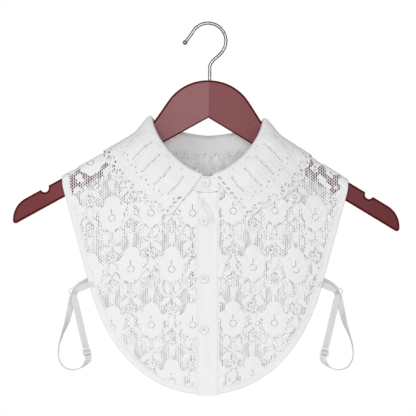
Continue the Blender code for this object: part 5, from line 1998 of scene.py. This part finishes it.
        def depth(x: Array, y: Array) -> Array:
            """Distance to the slider's edge or a window."""
            best = box(x, y, half_w, half_h, self.corner)
            for side in (-1, 1):
                window = box(x, y - side * self.bar_step / 2, window_w, window_h, 0.4)
                best = np.minimum(best, -window)
            return best

        cut, depths = carve((-half_w - 0.3, -half_h - 0.3, half_w + 0.3, half_h + 0.3), (0.26, 0.26), depth)
        cut.relief = np.sqrt(np.clip(1 - (1 - np.clip(depths / self.bar, 0, 1)) ** 2, 0, 1)) * 0.55
        normal = np.cross(self.across, self.up)

        def place(flat: Array, out: Array) -> Array:
            """The slider's flat places in space."""
            return self.slider + flat[:, :1] * self.across + flat[:, 1:] * self.up + out[:, None] * normal

        slider = add_shell(f"moulded_slider_{self.name}", cut, place, (0.1, -0.5), fitting)
        return ring, slider

    def bar_tack(self) -> bpy.types.Object:
        """The close stitches that hold the tab, on the binding's face."""
        drape = self.body.drape
        rows = []
        for k in range(7):
            z = self.ring_z + self.tab_rise + 1.0 - 0.9 * k
            half = self.body.side_end_half + self.body.lean * (z - self.body.side_end_z)
            x = drape.body_x + self.hand * (half - 1.6 - np.linspace(0, 4.6, 5))
            q = drape.q_at(x, z + 0 * x, 1)
            rows.append(strip(np.stack([x, q], 1), 0.6, 3, 0.3))
        made = add_shell(
            f"bar_tack_{self.name}", joined(rows), drape.lay, (1.05, 0.5), self.palette.get(Finish.THREAD)
        )
        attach(made, "root")
        return made

    def build(self) -> None:
        """Makes the strap's pieces."""
        ring, slider = self.fittings()
        for piece, node in ((ring, "strap_ring"), (slider, "strap_slider")):
            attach(piece, "root")
            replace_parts(piece, f"{node}_{self.name}")
        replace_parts(self.elastic(), f"strap_elastic_{self.name}")
        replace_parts(self.tab(), f"strap_tab_{self.name}")
        self.bar_tack()


# Hanger


@dataclass
class Hanger:
    """Two flat lacquered arms joined at the middle, and the wire hook."""

    palette: Palette
    x: float = 1.2
    top_z: float = -64.1
    thick: float = 12.0
    edge_round: float = 3.0
    tilt: float = 1.2
    slope: float = 30.0
    width: float = 20.0
    reach: float = 222.6
    crown_radius: float = 55.0
    crown_slope: float = 56.0
    crown_flat: float = 1.0
    crown_foot: float = 70.5
    crown_fillet: float = 12.0
    notch_drop: float = 43.0
    nose_radius: float = 28.0
    heel_radius: float = 3.0
    strap_notch_x: float = 187.0
    strap_notch_radius: float = 5.0
    wire: float = 1.95
    hook_radius: float = 20.5
    hook_lead: tuple[tuple[float, float], ...] = ((-26.5, -20.4), (-23.6, -16.2))
    lead_pull: float = 4.0
    open_angle: float = 152.0
    back_angle: float = -28.0
    bend_pull: float = 11.0
    shank_top: float = -50.0
    shank_pull: float = 10.0
    shank_depth: float = 18.0

    def rounded(self, corners: Sequence[tuple[float, float, float]]) -> Array:
        """An outline of (x, drop, radius) corners, each one an arc in steps of 5 degrees."""
        points = []
        for k, (x, y, radius) in enumerate(corners):
            here = np.array([x, y])
            if radius == 0:
                points.append(here)
                continue
            before = unit(np.array(corners[k - 1][:2]) - here)
            after = unit(np.array(corners[(k + 1) % len(corners)][:2]) - here)
            half = math.acos(float(np.clip(np.dot(before, after), -1, 1))) / 2
            middle = here + unit(before + after) * radius / math.sin(half)
            start = here + before * radius / math.tan(half) - middle
            end = here + after * radius / math.tan(half) - middle
            a = math.atan2(start[1], start[0])
            sweep = (math.atan2(end[1], end[0]) - a + math.pi) % (2 * math.pi) - math.pi
            turn = a + sweep * np.linspace(0, 1, max(3, round(abs(math.degrees(sweep)) / 5)) + 1)
            points += list(middle + radius * np.stack([np.cos(turn), np.sin(turn)], 1))
        return np.array(points)

    def arm(self, hand: int) -> bpy.types.Object:
        """One arm: its outline with the strap notch, made thick, with rounded edges."""
        rise = math.tan(math.radians(self.slope))
        width = self.width / math.cos(math.radians(self.slope))
        under = lambda x: self.notch_drop + rise * x
        inner = 0.0
        crown = self.crown_flat + self.crown_radius * math.tan(math.radians(self.crown_slope) / 2)
        outline = self.rounded(
            (
                (inner, 0.0, 0),
                (crown, 0.0, self.crown_radius),
                (self.crown_foot, under(self.crown_foot) - width, self.crown_fillet),
                (self.reach, under(self.reach) - width, self.nose_radius),
                (self.reach, under(self.reach), self.heel_radius),
                (inner, under(inner), 0),
            )
        )
        centre = np.array([self.strap_notch_x, under(self.strap_notch_x) - width])
        top = (outline[:, 0] < centre[0]) & (outline[:, 1] < under(outline[:, 0]) - width / 2)
        before = int(np.max(np.nonzero(top)[0]))
        heading = math.atan(rise)
        turn = np.linspace(math.pi + heading, heading, 19)
        arc = centre + self.strap_notch_radius * np.stack([np.cos(turn), np.sin(turn)], 1)
        outline = np.concatenate([outline[: before + 1], arc, outline[before + 1 :]])
        run = unit(np.roll(outline, -1, 0) - outline) + unit(outline - np.roll(outline, 1, 0))
        inward = np.stack([-run[:, 1], run[:, 0]], 1)
        inward = unit(inward) / np.maximum(np.linalg.norm(run, axis=1, keepdims=True) / 2, 0.7)
        inward[np.abs(outline[:, 0] - inner) < 0.01, 0] = 0.0
        n, half = len(outline), self.thick / 2
        turn = np.radians(np.linspace(0, 90, 7))
        inset = self.edge_round * (1 - np.sin(turn))
        height = half - self.edge_round * (1 - np.cos(turn))
        inset, height = np.concatenate([inset, inset[::-1]]), np.concatenate([-height, height[::-1]])
        rings = outline[None] + inward[None] * inset[:, None, None]
        local_x, local_z = hand * rings[..., 0], -rings[..., 1]
        tilt = math.radians(self.tilt)
        points = np.stack(
            [
                local_x * math.cos(tilt) + local_z * math.sin(tilt) + self.x,
                np.broadcast_to(height[:, None], local_x.shape),
                local_z * math.cos(tilt) - local_x * math.sin(tilt) + self.top_z,
            ],
            -1,
        ).reshape(-1, 3)
        name = "left" if hand < 0 else "right"
        caps = mathutils.geometry.tessellate_polygon([[(*p, 0.0) for p in rings[0]]])
        front = np.array(caps)
        around = np.roll(np.arange(n), -1)
        edges = np.concatenate([front, np.roll(front, -1, 1), np.roll(front, -2, 1)])[:, :2]
        if not np.any((edges[:, 0] == around[0] - 1) & (edges[:, 1] == around[0])):
            front = front[:, ::-1]
        walls = grid_faces(len(rings), n, True)[:, ::-1]
        back = front[:, ::-1] + (len(rings) - 1) * n
        points, faces = outwards(points, [front, walls, back])
        place = Finish.WOOD_LEFT if hand < 0 else Finish.WOOD_RIGHT
        piece = add_piece(f"lacquered_arm_{name}", points, faces, self.palette.get(place))
        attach(piece, "root")
        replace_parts(piece, f"hanger_arm_{name}")
        return piece

    def hook(self) -> bpy.types.Object:
        """The hook: one bent wire, a lead-in, most of a circle and a bend to the shank."""
        arc = np.radians(np.linspace(self.open_angle, self.back_angle, 18))
        middle = (0, self.wire - self.hook_radius)
        circle = np.stack([np.cos(arc), np.sin(arc)], 1) * self.hook_radius + middle
        # The lead-in keeps the solid's open end and runs on into the circle without a kink
        into = circle[0] - np.array([math.sin(arc[0]), -math.cos(arc[0])]) * self.lead_pull
        lead = bezier(self.hook_lead[0], self.hook_lead[1], into, circle[0], 8)
        heading = np.array([math.sin(arc[-1]), -math.cos(arc[-1])])
        foot = np.array([self.x + 0.7, self.shank_top])
        pulled = circle[-1] + heading * self.bend_pull
        bend = bezier(circle[-1], pulled, foot + (0, self.shank_pull), foot, 9)
        end = np.array([[foot[0], self.top_z - self.shank_depth + GAP]])
        path = through(np.concatenate([lead[:-1], circle, bend[1:], end]), 190)
        back = unit(path[0] - path[1])
        turn = np.linspace(0.06, math.pi - 0.75, 14)
        ball = 2.9
        beads = path[0] + back * (ball * np.cos(turn))[:, None]
        path = np.concatenate([beads, path[1:]])
        radius = np.concatenate([ball * np.sin(turn), np.full(len(path) - len(turn), self.wire)])
        line = np.stack([path[:, 0], np.zeros(len(path)), path[:, 1]], 1)
        piece = add_piece("chrome_hook", *tube(line, radius, 20), self.palette.get(Finish.WIRE))
        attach(piece, "root")
        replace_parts(piece, "hanger_hook")
        return piece

    def build(self) -> None:
        """Makes both arms and the hook."""
        self.arm(-1)
        self.arm(1)
        self.hook()


# Studio


@dataclass
class Studio:
    """A pale floor, soft light and a camera level with the middle of the object."""

    aim: tuple[float, float] = (-0.0002, -0.2112)
    distance: float = 2.7
    view_width: float = 0.4796
    floor_z: float = -0.62
    floor_radius: float = 0.8
    world: float = 0.46

    def build(self) -> None:
        """Makes the camera, the lights and the floor."""
        scene = bpy.context.scene
        camera = bpy.data.objects.new("camera", bpy.data.cameras.new("camera"))
        camera.location = (self.aim[0], -self.distance, self.aim[1])
        camera.rotation_euler = (math.pi / 2, 0, 0)
        camera.data.sensor_width = 36.0
        camera.data.lens = 36.0 * self.distance / self.view_width
        scene.collection.objects.link(camera)
        scene.camera = camera
        scene.view_settings.view_transform = "Standard"
        world = bpy.data.worlds.new("studio")
        world.use_nodes = True
        tree = world.node_tree
        tree.nodes["Background"].inputs["Color"].default_value = (1, 1, 1, 1)
        # The paper behind is lit on its own, brighter than the light it sends forward
        sight = tree.nodes.new("ShaderNodeLightPath")
        level = tree.nodes.new("ShaderNodeMapRange")
        level.inputs["To Min"].default_value = self.world
        level.inputs["To Max"].default_value = 1.0
        tree.links.new(sight.outputs["Is Camera Ray"], level.inputs["Value"])
        tree.links.new(level.outputs[0], tree.nodes["Background"].inputs["Strength"])
        scene.world = world
        for name, place, size, power in (
            ("key", (-1.3, -2.0, 0.4), 0.9, 11.0),
            ("fill", (0.1, -2.6, -0.08), 0.9, 24.0),
            ("back", (0.4, 2.4, 0.1), 1.2, 22.0),
        ):
            light = bpy.data.lights.new(name, "AREA")
            light.size = size
            light.energy = power
            lamp = bpy.data.objects.new(name, light)
            lamp.location = place
            aim = np.array([0, 0, -0.22]) - np.array(place)
            level = math.hypot(aim[0], aim[1])
            lamp.rotation_euler = (math.atan2(level, -aim[2]), 0, math.atan2(aim[1], aim[0]) - math.pi / 2)
            scene.collection.objects.link(lamp)
        turn = np.linspace(0, 2 * math.pi, 96, endpoint=False)
        rim = np.stack([np.cos(turn), np.sin(turn), 0 * turn], 1) * self.floor_radius / MM
        points = np.concatenate([[[0, 0, 0]], rim]) + (0, 0, self.floor_z / MM)
        k = np.arange(96)
        faces = [np.stack([0 * k, 1 + k, 1 + (k + 1) % 96], 1)]
        paper = PlainFinish("pale_floor", "#f2f2f2", "#eeeeee", 0.9, cloud=3.0).made()
        add_piece("floor", points, faces, paper)


def main() -> None:
    """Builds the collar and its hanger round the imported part, in order."""
    logging.basicConfig(level=logging.INFO, format="%(message)s")
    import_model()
    body = Body()
    palette = Palette()
    trim = CottonTrim(body, palette)
    steps = (
        ("studio", Studio().build),
        ("hanger", Hanger(palette).build),
        ("lace", LacePanels(body, palette).build),
        ("cotton", trim.build),
        ("collar", CollarFall(body, palette).build),
        ("buttons", Buttons(trim, palette).build),
        ("strap_left", SideStrap(body, palette, -1).build),
        ("strap_right", SideStrap(body, palette, 1).build),
    )
    for name, build in steps:
        build()
        LOG.info("built %s", name)
    total = 0
    for piece in bpy.context.scene.objects:
        if piece.type == "MESH" and not piece.hide_render:
            piece.data.calc_loop_triangles()
            count = len(piece.data.loop_triangles)
            total += count
            LOG.info("%s %d triangles", piece.name, count)
    LOG.info("total %d triangles", total)


if __name__ == "__main__":
    main()
